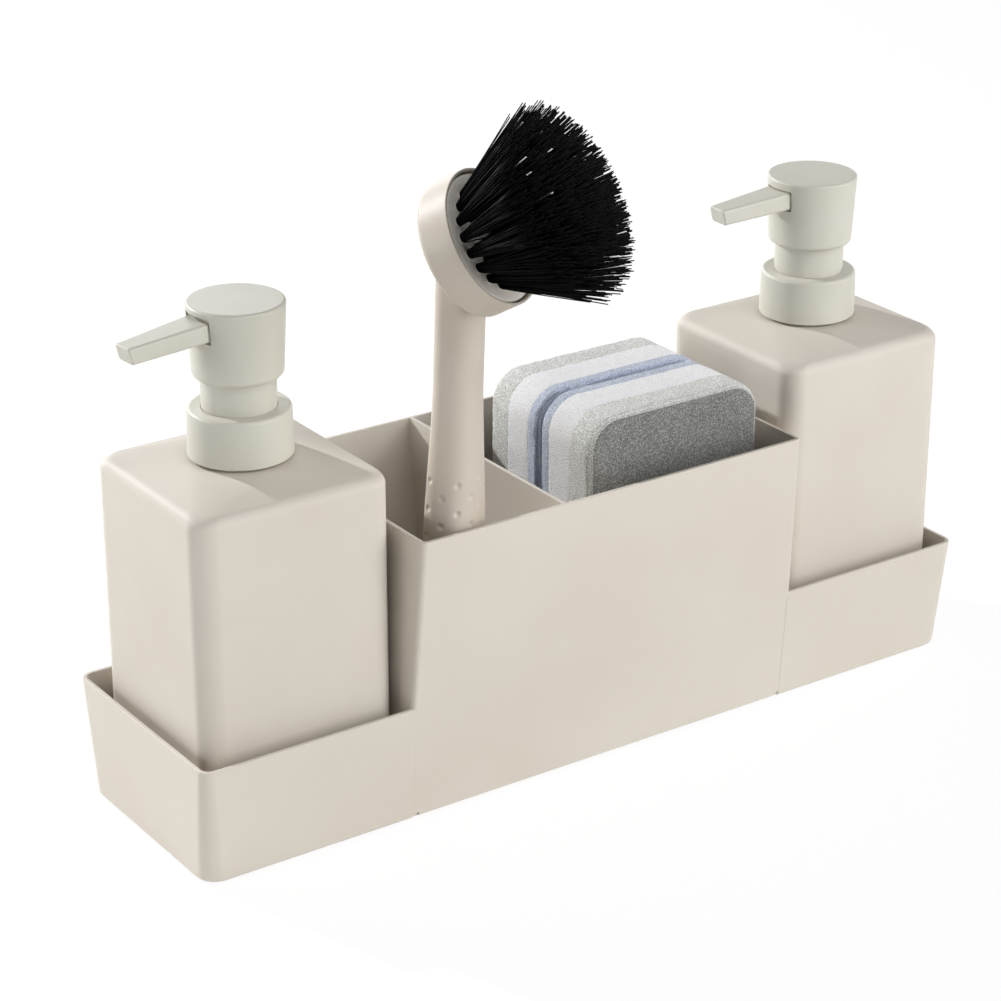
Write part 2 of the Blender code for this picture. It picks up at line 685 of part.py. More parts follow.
def make_pump(side, centre):
    gasket = [
        (GASKET_RADIUS, GASKET_Z + GASKET_THICKNESS),
        (GASKET_RADIUS, GASKET_Z),
        (CYLINDER_RADIUS + CLEARANCE, GASKET_Z),
        (CYLINDER_RADIUS + CLEARANCE, GASKET_Z + GASKET_THICKNESS),
    ]
    turned(f"{side}_gasket", gasket, RUBBER, centre, INNER_TURN_STEPS)
    make_housing(side, centre)
    stem_hole = STEM_RADIUS + STEM_CLEARANCE
    guide = [
        (GUIDE_RADIUS, GUIDE_TOP_Z),
        (GUIDE_RADIUS, PLATE_Z + COLLAR_PLATE / 2),
        (GUIDE_RADIUS, GUIDE_Z + GUIDE_PLATE),
        (FLANGE_RADIUS, GUIDE_Z + GUIDE_PLATE),
        (FLANGE_RADIUS, GUIDE_Z),
        (stem_hole, GUIDE_Z),
        (stem_hole, GUIDE_Z + GUIDE_PLATE),
        (GUIDE_RADIUS - GUIDE_WALL, GUIDE_Z + GUIDE_PLATE),
        (GUIDE_RADIUS - GUIDE_WALL, GUIDE_TOP_Z),
    ]
    turned(f"{side}_pump_guide", guide, PUMP_PLASTIC, centre)
    stem_top = SPOUT_ROOT_Z - SPOUT_BORE_RADIUS - CLEARANCE
    stem = [
        (STEM_RADIUS, stem_top),
        (STEM_RADIUS, STEM_FOOT_Z + STEM_FOOT_THICKNESS),
        (STEM_FOOT_RADIUS, STEM_FOOT_Z + STEM_FOOT_THICKNESS),
        (STEM_FOOT_RADIUS, STEM_FOOT_Z),
        (STEM_BORE_RADIUS, STEM_FOOT_Z),
        (STEM_BORE_RADIUS, stem_top),
    ]
    turned(f"{side}_stem", stem, CLEAR_PLASTIC, centre, INNER_TURN_STEPS)
    piston_radius = CYLINDER_BORE_RADIUS - PISTON_CLEARANCE
    piston_bore = STEM_RADIUS + CLEARANCE
    waist = (piston_radius + piston_bore) / 2
    piston = [
        (piston_radius, PISTON_TOP_Z),
        (piston_radius, PISTON_TOP_Z - PISTON_LENGTH / 4),
        (waist, PISTON_TOP_Z - PISTON_LENGTH / 3),
        (waist, PISTON_Z + PISTON_LENGTH / 3),
        (piston_radius, PISTON_Z + PISTON_LENGTH / 4),
        (piston_radius, PISTON_Z),
        (piston_bore, PISTON_Z),
        (piston_bore, PISTON_TOP_Z),
    ]
    turned(f"{side}_piston", piston, CLEAR_PLASTIC, centre, INNER_TURN_STEPS)
    tube_bottom = STAND_Z + BOTTLE_WALL + DIP_TUBE_FLOOR_GAP
    tube_top = TAIL_END_Z + DIP_TUBE_SOCKET - CLEARANCE
    dip_tube = [
        (DIP_TUBE_RADIUS, tube_top),
        (DIP_TUBE_RADIUS, tube_bottom),
        (DIP_TUBE_BORE_RADIUS, tube_bottom),
        (DIP_TUBE_BORE_RADIUS, tube_top),
    ]
    turned(f"{side}_dip_tube", dip_tube, CLEAR_PLASTIC, centre, INNER_TURN_STEPS)


def make_spring(side, centre):
    """A compression spring with one closed curl at each end."""
    low = SPRING_BOTTOM_Z + SPRING_WIRE_RADIUS
    high = SPRING_TOP_Z - SPRING_WIRE_RADIUS
    closed_pitch = 2 * SPRING_WIRE_RADIUS + 2 * CLEARANCE
    open_pitch = (high - low - 2 * closed_pitch) / (SPRING_CURLS - 2)
    points = []
    z = low
    for step in range(SPRING_CURLS * SPRING_POINTS_PER_CURL + 1):
        angle = 2 * math.pi * step / SPRING_POINTS_PER_CURL
        points.append(tuple(polar(centre, SPRING_RADIUS, angle, z)))
        curl = (step + 0.5) / SPRING_POINTS_PER_CURL
        pitch = closed_pitch if curl < 1 or curl > SPRING_CURLS - 1 else open_pitch
        z += pitch / SPRING_POINTS_PER_CURL
    tube(f"{side}_spring", points, SPRING_WIRE_RADIUS, 1, SPRING_STEEL)
    least = least_gap(points, SPRING_WIRE_RADIUS, SPRING_POINTS_PER_CURL)
    print(f"{side}_spring: least gap to itself {least * 1000:.2f} mm")


def least_gap(points, radius, per_turn):
    """The smallest clear space between points of a coil at least half a turn apart."""
    places = [Vector(point) for point in points]
    least = math.inf
    for at, first in enumerate(places):
        for second in places[at + per_turn // 2 :]:
            least = min(least, (first - second).length - 2 * radius)
    return least


def make_ball(side, centre):
    shape = bmesh.new()
    bmesh.ops.create_uvsphere(shape, u_segments=16, v_segments=10, radius=BALL_RADIUS)
    mesh = mesh_from(f"{side}_valve_ball", shape)
    obj = as_object(f"{side}_valve_ball", mesh, SPRING_STEEL)
    # It sits where the 45 degree seat cone touches it
    contact = BALL_RADIUS * math.sqrt(2)
    obj.location = (*centre, BALL_SEAT_Z - TAIL_BORE_RADIUS + contact + CLEARANCE)
    return obj


def spout_ring(reach, z, width, height):
    """A rounded rectangle across the spout, which runs toward -X."""
    flat = rounded_ring((0.0, z), width / 2, height / 2, SPOUT_ROUNDING, 0.0, 3)
    return [Vector((-reach, point.x, point.y)) for point in flat]


def make_head(side, centre, turn):
    """Cap, skirt, stem socket and spout in one moulding; the spout is turned about the head's axis."""
    top = HEAD_TOP_Z
    socket_z = SOCKET_CEILING_Z - SOCKET_LENGTH
    bore = STEM_RADIUS + CLEARANCE
    lower_inner = HEAD_BASE_RADIUS - HEAD_WALL
    ceiling_inner = HEAD_TOP_RADIUS - HEAD_WALL
    outline = [(0.0, top)]
    edge = HEAD_TOP_ROUNDING
    outline += arc(HEAD_TOP_RADIUS - edge, top - edge, edge, 90, 0, 3)
    edge = HEAD_BASE_ROUNDING
    outline += arc(HEAD_BASE_RADIUS - edge, HEAD_Z + edge, edge, 0, -90, 3)
    outline[-1] = (lower_inner, HEAD_Z)
    outline += [
        (ceiling_inner, SOCKET_CEILING_Z),
        (SOCKET_RADIUS, SOCKET_CEILING_Z),
        (SOCKET_RADIUS, socket_z),
        (bore, socket_z),
        (bore, SOCKET_CEILING_Z),
        (0.0, SOCKET_CEILING_Z),
    ]
    head = turned(f"{side}_pump_head", outline, PUMP_PLASTIC, centre, closed=False)
    root = (bore + SOCKET_RADIUS) / 2
    rings = [
        spout_ring(root, SPOUT_ROOT_Z, SPOUT_ROOT_WIDTH, SPOUT_ROOT_HEIGHT),
        spout_ring(HEAD_TOP_RADIUS, SPOUT_ROOT_Z, SPOUT_ROOT_WIDTH, SPOUT_ROOT_HEIGHT),
        spout_ring(SPOUT_REACH, SPOUT_TIP_Z, SPOUT_TIP_WIDTH, SPOUT_TIP_HEIGHT),
    ]
    for point in rings[-1]:
        below = (SPOUT_TIP_Z + SPOUT_TIP_HEIGHT / 2 - point.z) / SPOUT_TIP_HEIGHT
        point.x += SPOUT_UNDERCUT * below
    place = Matrix.Translation((*centre, 0.0)) @ Matrix.Rotation(turn, 4, "Z")
    spout = loft(f"{side}_spout_block", rings, None)
    spout.matrix_world = place
    join(head, spout)
    # The soap runs along the spout and leaves through a hole under its tip
    start = Vector((0.0, 0.0, SPOUT_ROOT_Z))
    tip = Vector((-SPOUT_REACH, 0.0, SPOUT_TIP_Z))
    along = (tip - start).normalized()
    bend = tip - along * SPOUT_OUTLET_INSET
    down = Vector((0.0, 0.0, -SPOUT_TIP_HEIGHT))
    for kind, first, last, radius in (
        ("bore", start, bend + along * SPOUT_OUTLET_RADIUS, SPOUT_BORE_RADIUS),
        ("outlet", bend, bend + down, SPOUT_OUTLET_RADIUS),
    ):
        channel = meshed(tube(f"{side}_spout_{kind}", [first, last], radius, 2, None))
        channel.matrix_world = place
        cut(head, channel)
    return head


def make_dispenser(side, centre, turn):
    make_bottle(side, centre)
    make_collar(side, centre)
    make_pump(side, centre)
    make_spring(side, centre)
    make_ball(side, centre)
    make_head(side, centre, turn)


# Dish brush


def oval_ring(width, thickness, z, sides=HANDLE_SIDES, fullness=HANDLE_FULLNESS):
    """A rounded oval; a fullness of 2 is an ellipse, and more is squarer."""
    ring = []
    for step in range(sides):
        angle = 2 * math.pi * (step + 0.5) / sides
        cosine, sine = math.cos(angle), math.sin(angle)
        x = math.copysign(abs(cosine) ** (2 / fullness), cosine) * width / 2
        y = math.copysign(abs(sine) ** (2 / fullness), sine) * thickness / 2
        ring.append(Vector((x, y, z)))
    return ring


def brush_frame():
    """Places the brush: its foot on the floor by the front wall, leaning along that wall."""
    cosine, sine = math.cos(BRUSH_TURN), math.sin(BRUSH_TURN)
    reach_y = math.hypot(GRIP_WIDTH / 2 * sine, GRIP_THICKNESS / 2 * cosine) * HANDLE_CORNER_SHARE
    y = -(half_depth(FLOOR_Z) - WALL - BRUSH_WALL_GAP - reach_y)
    lift = reach_y * math.sin(FRONT_DRAFT) + GRIP_WIDTH / 2 * math.sin(BRUSH_SIDE_LEAN)
    place = Matrix.Translation((BRUSH_X, y, STAND_Z + lift))
    lean = Matrix.Rotation(-BRUSH_SIDE_LEAN, 4, "Y") @ Matrix.Rotation(FRONT_DRAFT, 4, "X")
    return place @ lean @ Matrix.Rotation(BRUSH_TURN, 4, "Z")


def head_frame():
    """The cup's frame inside the brush: its Z runs out of the bristles, its origin is the cup's back."""
    return Matrix.Translation((0.0, 0.0, HANDLE_LENGTH)) @ Matrix.Rotation(HEAD_TILT, 4, "X")


def tuft_places():
    places = []
    for radius, count in zip(TUFT_RING_RADII, TUFT_RING_COUNTS):
        for at in range(count):
            angle = 2 * math.pi * (at + 0.5) / count
            places.append(Vector((radius * math.cos(angle), radius * math.sin(angle))))
    return places


def tuft_offsets():
    """Strand places inside a tuft of radius 1, on a sunflower spiral."""
    golden = math.pi * (3 - math.sqrt(5))
    offsets = []
    for at in range(STRANDS_PER_TUFT):
        radius = math.sqrt((at + 0.5) / STRANDS_PER_TUFT)
        offsets.append(Vector((radius * math.cos(at * golden), radius * math.sin(at * golden))))
    return offsets


def strand_roots():
    """(root, tip) of every strand; tips spread from their tuft as its roots do, so none cross."""
    outer = TUFT_RING_RADII[-1]
    strands = []
    for place in tuft_places():
        share = place.length / outer
        middle = place * (BRISTLE_SPREAD_RADIUS / outer)
        for offset in tuft_offsets():
            root = place + offset * TUFT_RADIUS
            tip = middle + offset * TIP_TUFT_RADIUS
            reach = min(tip.length / BRISTLE_SPREAD_RADIUS, 1.2)
            height = BRISTLE_LENGTH - (BRISTLE_LENGTH - BRISTLE_EDGE_LENGTH) * reach * reach
            strands.append((root, Vector((tip.x, tip.y, height))))
    return strands


def make_bristles(frame, base_z, radius):
    """A slice of backing whose top face is cut into small triangles that rise as strands."""
    rim = [point.xy for point in circle_ring((0.0, 0.0), radius, 0.0, TURN_STEPS)]
    flat = list(rim)
    faces = [list(range(len(rim)))]
    strands = strand_roots()
    for root, _ in strands:
        first = len(flat)
        for corner in range(3):
            angle = 2 * math.pi * corner / 3
            flat.append(root + Vector((math.cos(angle), math.sin(angle))) * STRAND_RADIUS)
        faces.append([first, first + 1, first + 2])
    points, _, cells, _, _, owners = delaunay_2d_cdt(flat, [], faces, 1, WELD / 10, True)
    shape = bmesh.new()
    top_z = base_z + BRISTLE_BACKING
    top = [shape.verts.new((point.x, point.y, top_z)) for point in points]
    for cell, owner in zip(cells, owners):
        strand = max(owner)
        if strand == 0:
            shape.faces.new([top[at] for at in cell])
            continue
        root, tip = strands[strand - 1]
        lifted = []
        for at in cell:
            away = (points[at] - root) * STRAND_TIP_SHARE
            lifted.append(shape.verts.new((tip.x + away.x, tip.y + away.y, top_z + tip.z)))
        for at in range(3):
            after = (at + 1) % 3
            shape.faces.new((top[cell[at]], top[cell[after]], lifted[after], lifted[at]))
        shape.faces.new(lifted)
    edge = [vert for vert in shape.verts if vert.is_boundary]
    edge.sort(key=lambda vert: math.atan2(vert.co.y, vert.co.x))
    under = [shape.verts.new((vert.co.x, vert.co.y, base_z)) for vert in edge]
    for at in range(len(edge)):
        after = (at + 1) % len(edge)
        shape.faces.new((under[at], under[after], edge[after], edge[at]))
    shape.faces.new(reversed(under))
    obj = as_object("brush_bristles", mesh_from("brush_bristles", shape, smooth=False), NYLON)
    obj.matrix_world = frame
    return obj


def make_brush():
    frame = brush_frame()
    rings = []
    for inset, rise in reversed(edge_insets(HANDLE_END_ROUNDING, 3)):
        rings.append(oval_ring(GRIP_WIDTH - 2 * inset, GRIP_THICKNESS - 2 * inset, rise))
    rings.append(oval_ring(GRIP_WIDTH, GRIP_THICKNESS, GRIP_LENGTH))
    rings.append(oval_ring(HANDLE_WIDTH, HANDLE_THICKNESS, (GRIP_LENGTH + HANDLE_LENGTH) / 2))
    top = HANDLE_LENGTH + HANDLE_THICKNESS / 2 * math.cos(HEAD_TILT)
    rings.append(oval_ring(HANDLE_WIDTH, HANDLE_THICKNESS, top))
    handle = loft("brush_handle", rings, MOULDED)
    handle.matrix_world = frame
    back = CUP_BACK_ROUNDING
    plate_z = CUP_DEPTH - CUP_RECESS
    lip_inner = CUP_RADIUS - CUP_LIP
    cup_outline = [(lip_inner, CUP_DEPTH), (CUP_RADIUS, CUP_DEPTH)]
    cup_outline += arc(CUP_RADIUS - back, back, back, 0, -90, 4)
    cup_outline += [(0.0, 0.0)]
    cup_outline = [(0.0, plate_z), (lip_inner, plate_z)] + cup_outline
    cup = turned("cup_block", cup_outline, None, closed=False)
    cup.matrix_world = frame @ head_frame()
    # What stands past the cup's back plane is trimmed before the cup is joined
    trim_size = CUP_RADIUS * 2
    trim = block("handle_trim", (-trim_size, -trim_size, CUP_DEPTH / 2), (trim_size, trim_size, trim_size))
    trim.matrix_world = frame @ head_frame()
    cut(handle, trim)
    join(handle, cup)
    plate_radius = lip_inner - CLEARANCE
    plate_low = plate_z + CLEARANCE
    plate_high = plate_low + PLATE_THICKNESS
    plate = [(0.0, plate_high), (plate_radius, plate_high), (plate_radius, plate_low), (0.0, plate_low)]
    made = turned("brush_plate", plate, PLATE, closed=False)
    made.matrix_world = frame @ head_frame()
    make_bristles(frame @ head_frame(), plate_high + CLEARANCE, plate_radius - CUP_LIP)


# Sponges


def sponge_ring(half_width, height, y, inset):
    """A rounded upright rectangle in the plane of constant y, standing on the compartment floor."""
    flat = rounded_ring(
        (SPONGE_X, STAND_Z + height / 2),
        half_width - inset,
        height / 2 - inset,
        SPONGE_CORNER_RADIUS - inset,
        0.0,
    )
    return [Vector((point.x, y, point.y)) for point in flat]


def sponge_layer(name, finish, near_y, far_y, round_near, round_far):
    """One foam sheet; an outer side is rounded, a glued side is drawn in a little."""
    rings = []
    half = SPONGE_WIDTH / 2
    if round_near:
        for inset, step in reversed(edge_insets(SPONGE_EDGE_ROUNDING)):
            rings.append(sponge_ring(half, SPONGE_HEIGHT, near_y + step, inset))
    else:
        rings.append(sponge_ring(half, SPONGE_HEIGHT, near_y, SPONGE_GLUE_DRAW))
    if not (round_near or round_far):
        rings.append(sponge_ring(half, SPONGE_HEIGHT, (near_y + far_y) / 2, 0.0))
    if round_far:
        for inset, step in edge_insets(SPONGE_EDGE_ROUNDING):
            rings.append(sponge_ring(half, SPONGE_HEIGHT, far_y - step, inset))
    else:
        rings.append(sponge_ring(half, SPONGE_HEIGHT, far_y, SPONGE_GLUE_DRAW))
    return loft(name, rings, finish)


def make_sponge(side, outer_y, direction):
    """Scrub layer outside, foam in the middle and the soft layer inside, along direction in Y."""
    y = outer_y
    layers = (
        ("scrub", SCRUB, SCRUB_THICKNESS, True),
        ("foam", FOAM, FOAM_THICKNESS, False),
        ("soft", SOFT, SOFT_THICKNESS, False),
    )
    for kind, finish, thickness, round_outer in layers:
        inner_y = y + direction * (thickness - CLEARANCE)
        near, far = sorted((y, inner_y))
        round_near = round_outer and direction > 0
        round_far = round_outer and direction < 0
        sponge_layer(f"{side}_sponge_{kind}_layer", finish, near, far, round_near, round_far)
        y += direction * thickness
    return y


def make_sponges():
    meeting_y = make_sponge("front", SPONGE_FRONT_Y, 1)
    thickness = meeting_y - SPONGE_FRONT_Y
    make_sponge("rear", meeting_y + SPONGE_GAP + thickness, -1)


def move_to_origin():
    for obj in list(PARTS.objects) + list(CUTTERS.objects):
        obj.location.x -= ORIGIN_X
        obj.location.y -= ORIGIN_Y


make_caddy()
make_dispenser("left", (LEFT_BOTTLE_SHIFT - (ROOM_START + ROOM_END) / 2, 0.0), LEFT_SPOUT_TURN)
make_dispenser("right", (RIGHT_BOTTLE_SHIFT + (ROOM_START + ROOM_END) / 2, 0.0), RIGHT_SPOUT_TURN)
make_brush()
make_sponges()
move_to_origin()
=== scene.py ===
import math
import random

import bmesh
import bpy
from mathutils import Matrix, Vector, noise


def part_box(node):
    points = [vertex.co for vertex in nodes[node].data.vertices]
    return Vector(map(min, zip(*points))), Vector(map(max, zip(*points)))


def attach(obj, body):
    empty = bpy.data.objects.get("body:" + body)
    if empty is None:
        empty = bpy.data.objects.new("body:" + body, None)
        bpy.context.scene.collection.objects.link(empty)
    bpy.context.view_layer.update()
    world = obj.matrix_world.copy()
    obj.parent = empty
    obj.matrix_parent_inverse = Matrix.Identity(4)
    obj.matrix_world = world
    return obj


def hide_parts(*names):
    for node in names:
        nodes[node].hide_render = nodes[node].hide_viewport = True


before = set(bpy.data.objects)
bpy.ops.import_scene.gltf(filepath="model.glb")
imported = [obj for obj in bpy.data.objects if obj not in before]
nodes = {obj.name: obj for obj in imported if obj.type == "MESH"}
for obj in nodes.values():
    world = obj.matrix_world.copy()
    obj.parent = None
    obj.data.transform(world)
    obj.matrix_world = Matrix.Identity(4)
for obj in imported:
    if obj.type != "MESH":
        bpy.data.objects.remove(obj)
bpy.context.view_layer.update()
print("frame loaded:", len(nodes), "solids")

cameraView = {
    "target": Vector((-0.01592, 0.02428, 0.09065)),
    "azimuth": -34.613,  # degrees, 0 looks along +Y
    "elevation": 23.449,
    "distance": 1.04449,
    "focalShare": 2.9129,  # focal length over the picture's width
}


def aroundPlace(azimuth, elevation, distance, centre):
    turn, rise = math.radians(azimuth), math.radians(elevation)
    away = Vector((math.sin(turn) * math.cos(rise), -math.cos(turn) * math.cos(rise), math.sin(rise)))
    return centre + away * distance, away


def placeCamera(view):
    lens = bpy.data.cameras.new("productCamera")
    lens.sensor_width = 36.0
    lens.lens = view["focalShare"] * lens.sensor_width
    lens.clip_start, lens.clip_end = 0.05, 50.0
    camera = bpy.data.objects.new("productCamera", lens)
    bpy.context.scene.collection.objects.link(camera)
    place, away = aroundPlace(view["azimuth"], view["elevation"], view["distance"], view["target"])
    camera.location = place
    camera.rotation_mode = "QUATERNION"
    camera.rotation_quaternion = (-away).to_track_quat("-Z", "Y")
    bpy.context.scene.camera = camera


placeCamera(cameraView)
bpy.context.scene.view_settings.view_transform = "Standard"
print("camera placed")


def linearColour(hexValue):
    parts = [int(hexValue[at:at + 2], 16) / 255 for at in (1, 3, 5)]
    return (*[part / 12.92 if part <= 0.04045 else ((part + 0.055) / 1.055) ** 2.4 for part in parts], 1.0)


def addNode(tree, kind, sockets=None, **settings):
    made = tree.nodes.new(kind)
    for name, value in settings.items():
        setattr(made, name, value)
    for socket, value in (sockets or {}).items():
        if isinstance(value, bpy.types.NodeSocket):
            tree.links.new(value, made.inputs[socket])
        else:
            made.inputs[socket].default_value = value
    return made


def newMaterial(name):
    material = bpy.data.materials.new(name)
    material.use_nodes = True
    tree = material.node_tree
    tree.nodes.clear()
    shader = addNode(tree, "ShaderNodeBsdfPrincipled")
    addNode(tree, "ShaderNodeOutputMaterial", {"Surface": shader.outputs["BSDF"]})
    return material, tree, shader


def colourRamp(tree, source, stops):
    ramp = addNode(tree, "ShaderNodeValToRGB", {"Fac": source})
    elements = ramp.color_ramp.elements
    while len(elements) < len(stops):
        elements.new(0.5)
    for element, (position, colour) in zip(elements, stops):
        element.position = position
        element.color = colour if isinstance(colour, tuple) else (colour, colour, colour, 1.0)
    return ramp.outputs["Color"]


def perMetre(millimetres):
    return 1000.0 / millimetres  # a texture's scale for features of this size


glossSwing = 0.04  # how far the roughness swings with a moulding's grain


# Injection moulded and blown plastics. The spark-eroded mould gives the eye an even satin: soft wide
# highlights, no sparkle, and clouds of colour so faint that they only keep the faces from looking flat.
plasticRecipes = {
    "caddy": {
        "name": "polypropyleneMouldedSatin",
        "colour": "#D9D2C8",
        "cloud": "#D6CEC3",
        "roughness": 0.54,
        "ior": 1.49,
        "grain": 0.45,  # mm, coarser than the real 0.1 so that it shows
        "grainDepth": 0.0030,  # mm
        "flow": 55.0,  # mm across, clouds left by the flowing melt
    },
    "bottle": {
        "name": "polypropyleneBlownSatin",
        "colour": "#D6CFC5",
        "cloud": "#D3CBC0",
        "roughness": 0.60,
        "ior": 1.49,
        "grain": 0.6,
        "grainDepth": 0.0030,
        "flow": 45.0,
    },
    "pump": {
        "name": "polypropylenePumpMoulded",  # another melt than the bottle: greyer and a touch green
        "colour": "#CDCBC0",
        "cloud": "#C9C7BB",
        "roughness": 0.44,
        "ior": 1.49,
        "grain": 0.4,
        "grainDepth": 0.0025,
        "flow": 20.0,
    },
    "brush": {
        "name": "polypropyleneBrushMoulded",
        "colour": "#CBC2B6",
        "cloud": "#C6BCAF",
        "roughness": 0.50,
        "ior": 1.49,
        "grain": 0.4,
        "grainDepth": 0.0030,
        "flow": 25.0,
    },
    "plate": {
        "name": "absMouldedPlate",
        "colour": "#F8F3EA",
        "cloud": "#F1EBE1",
        "roughness": 0.42,
        "ior": 1.54,
        "grain": 0.4,
        "grainDepth": 0.0040,
        "flow": 12.0,
    },
    "inner": {
        "name": "polyethyleneMouldedNatural",  # undyed and slightly milky
        "colour": "#E6E6E0",
        "cloud": "#DCDCD6",
        "roughness": 0.38,
        "ior": 1.51,
        "grain": 0.8,
        "grainDepth": 0.0020,
        "flow": 15.0,
    },
}


def mouldedPlastic(recipe):
    material, tree, shader = newMaterial(recipe["name"])
    place = addNode(tree, "ShaderNodeTexCoord").outputs["Object"]
    flow = addNode(tree, "ShaderNodeTexNoise", {
        "Vector": place,
        "Scale": perMetre(recipe["flow"]),
        "Detail": 3.0,
    })
    grain = addNode(tree, "ShaderNodeTexNoise", {
        "Vector": place,
        "Scale": perMetre(recipe["grain"]),
        "Detail": 2.0,
    })
    relief = addNode(tree, "ShaderNodeBump", {
        "Strength": 1.0,
        "Distance": recipe["grainDepth"] / 1000,
        "Height": grain.outputs["Fac"],
    })
    tint = colourRamp(tree, flow.outputs["Fac"], [
        (0.35, linearColour(recipe["cloud"])),
        (0.65, linearColour(recipe["colour"])),
    ])
    gloss = colourRamp(tree, grain.outputs["Fac"], [
        (0.3, recipe["roughness"] - glossSwing),
        (0.7, recipe["roughness"] + glossSwing),
    ])
    tree.links.new(tint, shader.inputs["Base Color"])
    tree.links.new(gloss, shader.inputs["Roughness"])
    tree.links.new(relief.outputs["Normal"], shader.inputs["Normal"])
    shader.inputs["IOR"].default_value = recipe["ior"]
    return material


plastics = {key: mouldedPlastic(recipe) for key, recipe in plasticRecipes.items()}

# Foams sawn from a block. The open cells give the eye a fine sparkle of pale walls round darker pores;
# the scrubbing face is felted, which closes the cells and leaves a dull dark gray with a short nap.
foamRecipes = {
    "scrub": {
        "name": "polyurethaneFoamReticulatedCut",
        "wall": "#F6F7F4",
        "body": "#CECFCC",
        "pore": "#9C9D9A",
        "cell": 0.48,  # mm
        "relief": 0.26,  # mm
        "spread": (0.10, 0.36, 0.72),
    },
    "face": {
        "name": "polyurethaneFoamFelted",
        "wall": "#9E9E9C",
        "body": "#7A7A77",
        "pore": "#5A5A57",
        "cell": 0.55,
        "relief": 0.12,
        "spread": (0.14, 0.45, 0.80),
    },
    "foam": {
        "name": "polyurethaneFoamFineCut",
        "wall": "#FFFFFF",
        "body": "#F1F1F7",
        "pore": "#A9AABB",
        "cell": 0.50,
        "relief": 0.32,
        "spread": (0.03, 0.25, 0.60),
    },
    "nap": {
        "name": "polyurethaneFoamFeltedEdgeHighlight",  # between the cut side and the felted face, lighter than the felted face: partly the foam's own change toward felt, partly painted highlight along the rounded edge
        "wall": "#DADBD8",
        "body": "#B6B7B4",
        "pore": "#888985",
        "cell": 0.50,
        "relief": 0.30,
        "spread": (0.10, 0.40, 0.78),
    },
    "soft": {
        "name": "polyurethaneFoamDyedBlue",
        "wall": "#D6DDEA",
        "body": "#BBC4D6",
        "pore": "#8A94AB",
        "cell": 0.52,
        "relief": 0.22,
        "spread": (0.14, 0.40, 0.76),
    },
}

foamSurface = {
    "warpSize": 1.7,  # in cells, the noise that bends the cell walls
    "warpReach": 1.2,  # in cells
    "patchSize": 6.0,  # mm, patches where the cells are a little more open
    "patchShare": 0.16,
    "roughness": 0.92,
    "specular": 0.15,
    "sheen": 0.10,
    "sheenRoughness": 0.5,
}


def cellFoam(recipe, surface):
    material, tree, shader = newMaterial(recipe["name"])
    place = addNode(tree, "ShaderNodeTexCoord").outputs["Object"]
    warp = addNode(tree, "ShaderNodeTexNoise", {
        "Vector": place,
        "Scale": perMetre(recipe["cell"] * surface["warpSize"]),
        "Detail": 1.0,
    })
    centred = addNode(tree, "ShaderNodeVectorMath", {
        0: warp.outputs["Color"],
        1: (0.5, 0.5, 0.5),
    }, operation="SUBTRACT")
    bent = addNode(tree, "ShaderNodeVectorMath", {
        0: centred.outputs["Vector"],
        1: (recipe["cell"] * surface["warpReach"] / 1000,) * 3,
        2: place,
    }, operation="MULTIPLY_ADD")
    cells = addNode(tree, "ShaderNodeTexVoronoi", {
        "Vector": bent.outputs["Vector"],
        "Scale": perMetre(recipe["cell"]),
    }, feature="F1")
    patches = addNode(tree, "ShaderNodeTexNoise", {
        "Vector": place,
        "Scale": perMetre(surface["patchSize"]),
        "Detail": 3.0,
    })
    shifted = addNode(tree, "ShaderNodeMath", {0: patches.outputs["Fac"], 1: 0.5}, operation="SUBTRACT")
    level = addNode(tree, "ShaderNodeMath", {
        0: shifted.outputs["Value"],
        1: surface["patchShare"],
        2: cells.outputs["Distance"],
    }, operation="MULTIPLY_ADD")
    relief = addNode(tree, "ShaderNodeBump", {
        "Strength": 1.0,
        "Distance": recipe["relief"] / 1000,
        "Height": cells.outputs["Distance"],
    })
    parts = zip(recipe["spread"], ("pore", "body", "wall"))
    tint = colourRamp(tree, level.outputs["Value"], [(at, linearColour(recipe[part])) for at, part in parts])
    tree.links.new(tint, shader.inputs["Base Color"])
    tree.links.new(relief.outputs["Normal"], shader.inputs["Normal"])
    shader.inputs["Roughness"].default_value = surface["roughness"]
    shader.inputs["Specular IOR Level"].default_value = surface["specular"]
    shader.inputs["Sheen Weight"].default_value = surface["sheen"]
    shader.inputs["Sheen Roughness"].default_value = surface["sheenRoughness"]
    return material


foams = {key: cellFoam(recipe, foamSurface) for key, recipe in foamRecipes.items()}

# Strands, wire and rubber: a mottled tint each, at the scale where the real one varies
plainRecipes = {
    "black": {  # drawn nylon 6.12, dyed through: deep black, a dull gleam along each strand
        "name": "nylonDrawnBlack",
        "stops": ((0.35, "#010101"), (0.75, "#060607")),
        "size": 1.2,
        "roughness": (0.55, 0.65),
        "ior": 1.53,
        "gleam": 0.06,  # the strands shade each other's gleam
        "relief": 0.0,
    },
    "pale": {  # painted glints: a few strands coloured cold white stand in for light glinting between the black ones
        "name": "nylonPaintedGlint",
        "stops": ((0.35, "#D5D6D6"), (0.75, "#EFEFEE")),
        "size": 1.2,
        "roughness": (0.30, 0.38),
        "ior": 1.53,
        "relief": 0.0,
    },
    "steel": {  # stainless spring wire, drawn: bright, with faint lines that break up its highlight
        "name": "stainlessSteelDrawn",
        "stops": ((0.2, "#B9BABC"), (0.8, "#CFD0D2")),
        "size": 0.3,
        "roughness": (0.18, 0.32),
        "metallic": 1.0,
        "relief": 0.0,
    },
    "rubber": {  # moulded rubber: matte, with a dusty bloom
        "name": "rubberMouldedMatt",
        "stops": ((0.3, "#5C5B58"), (0.7, "#6E6D69")),
        "size": 1.5,
        "roughness": (0.70, 0.80),
        "ior": 1.52,
        "relief": 0.010,
    },
}


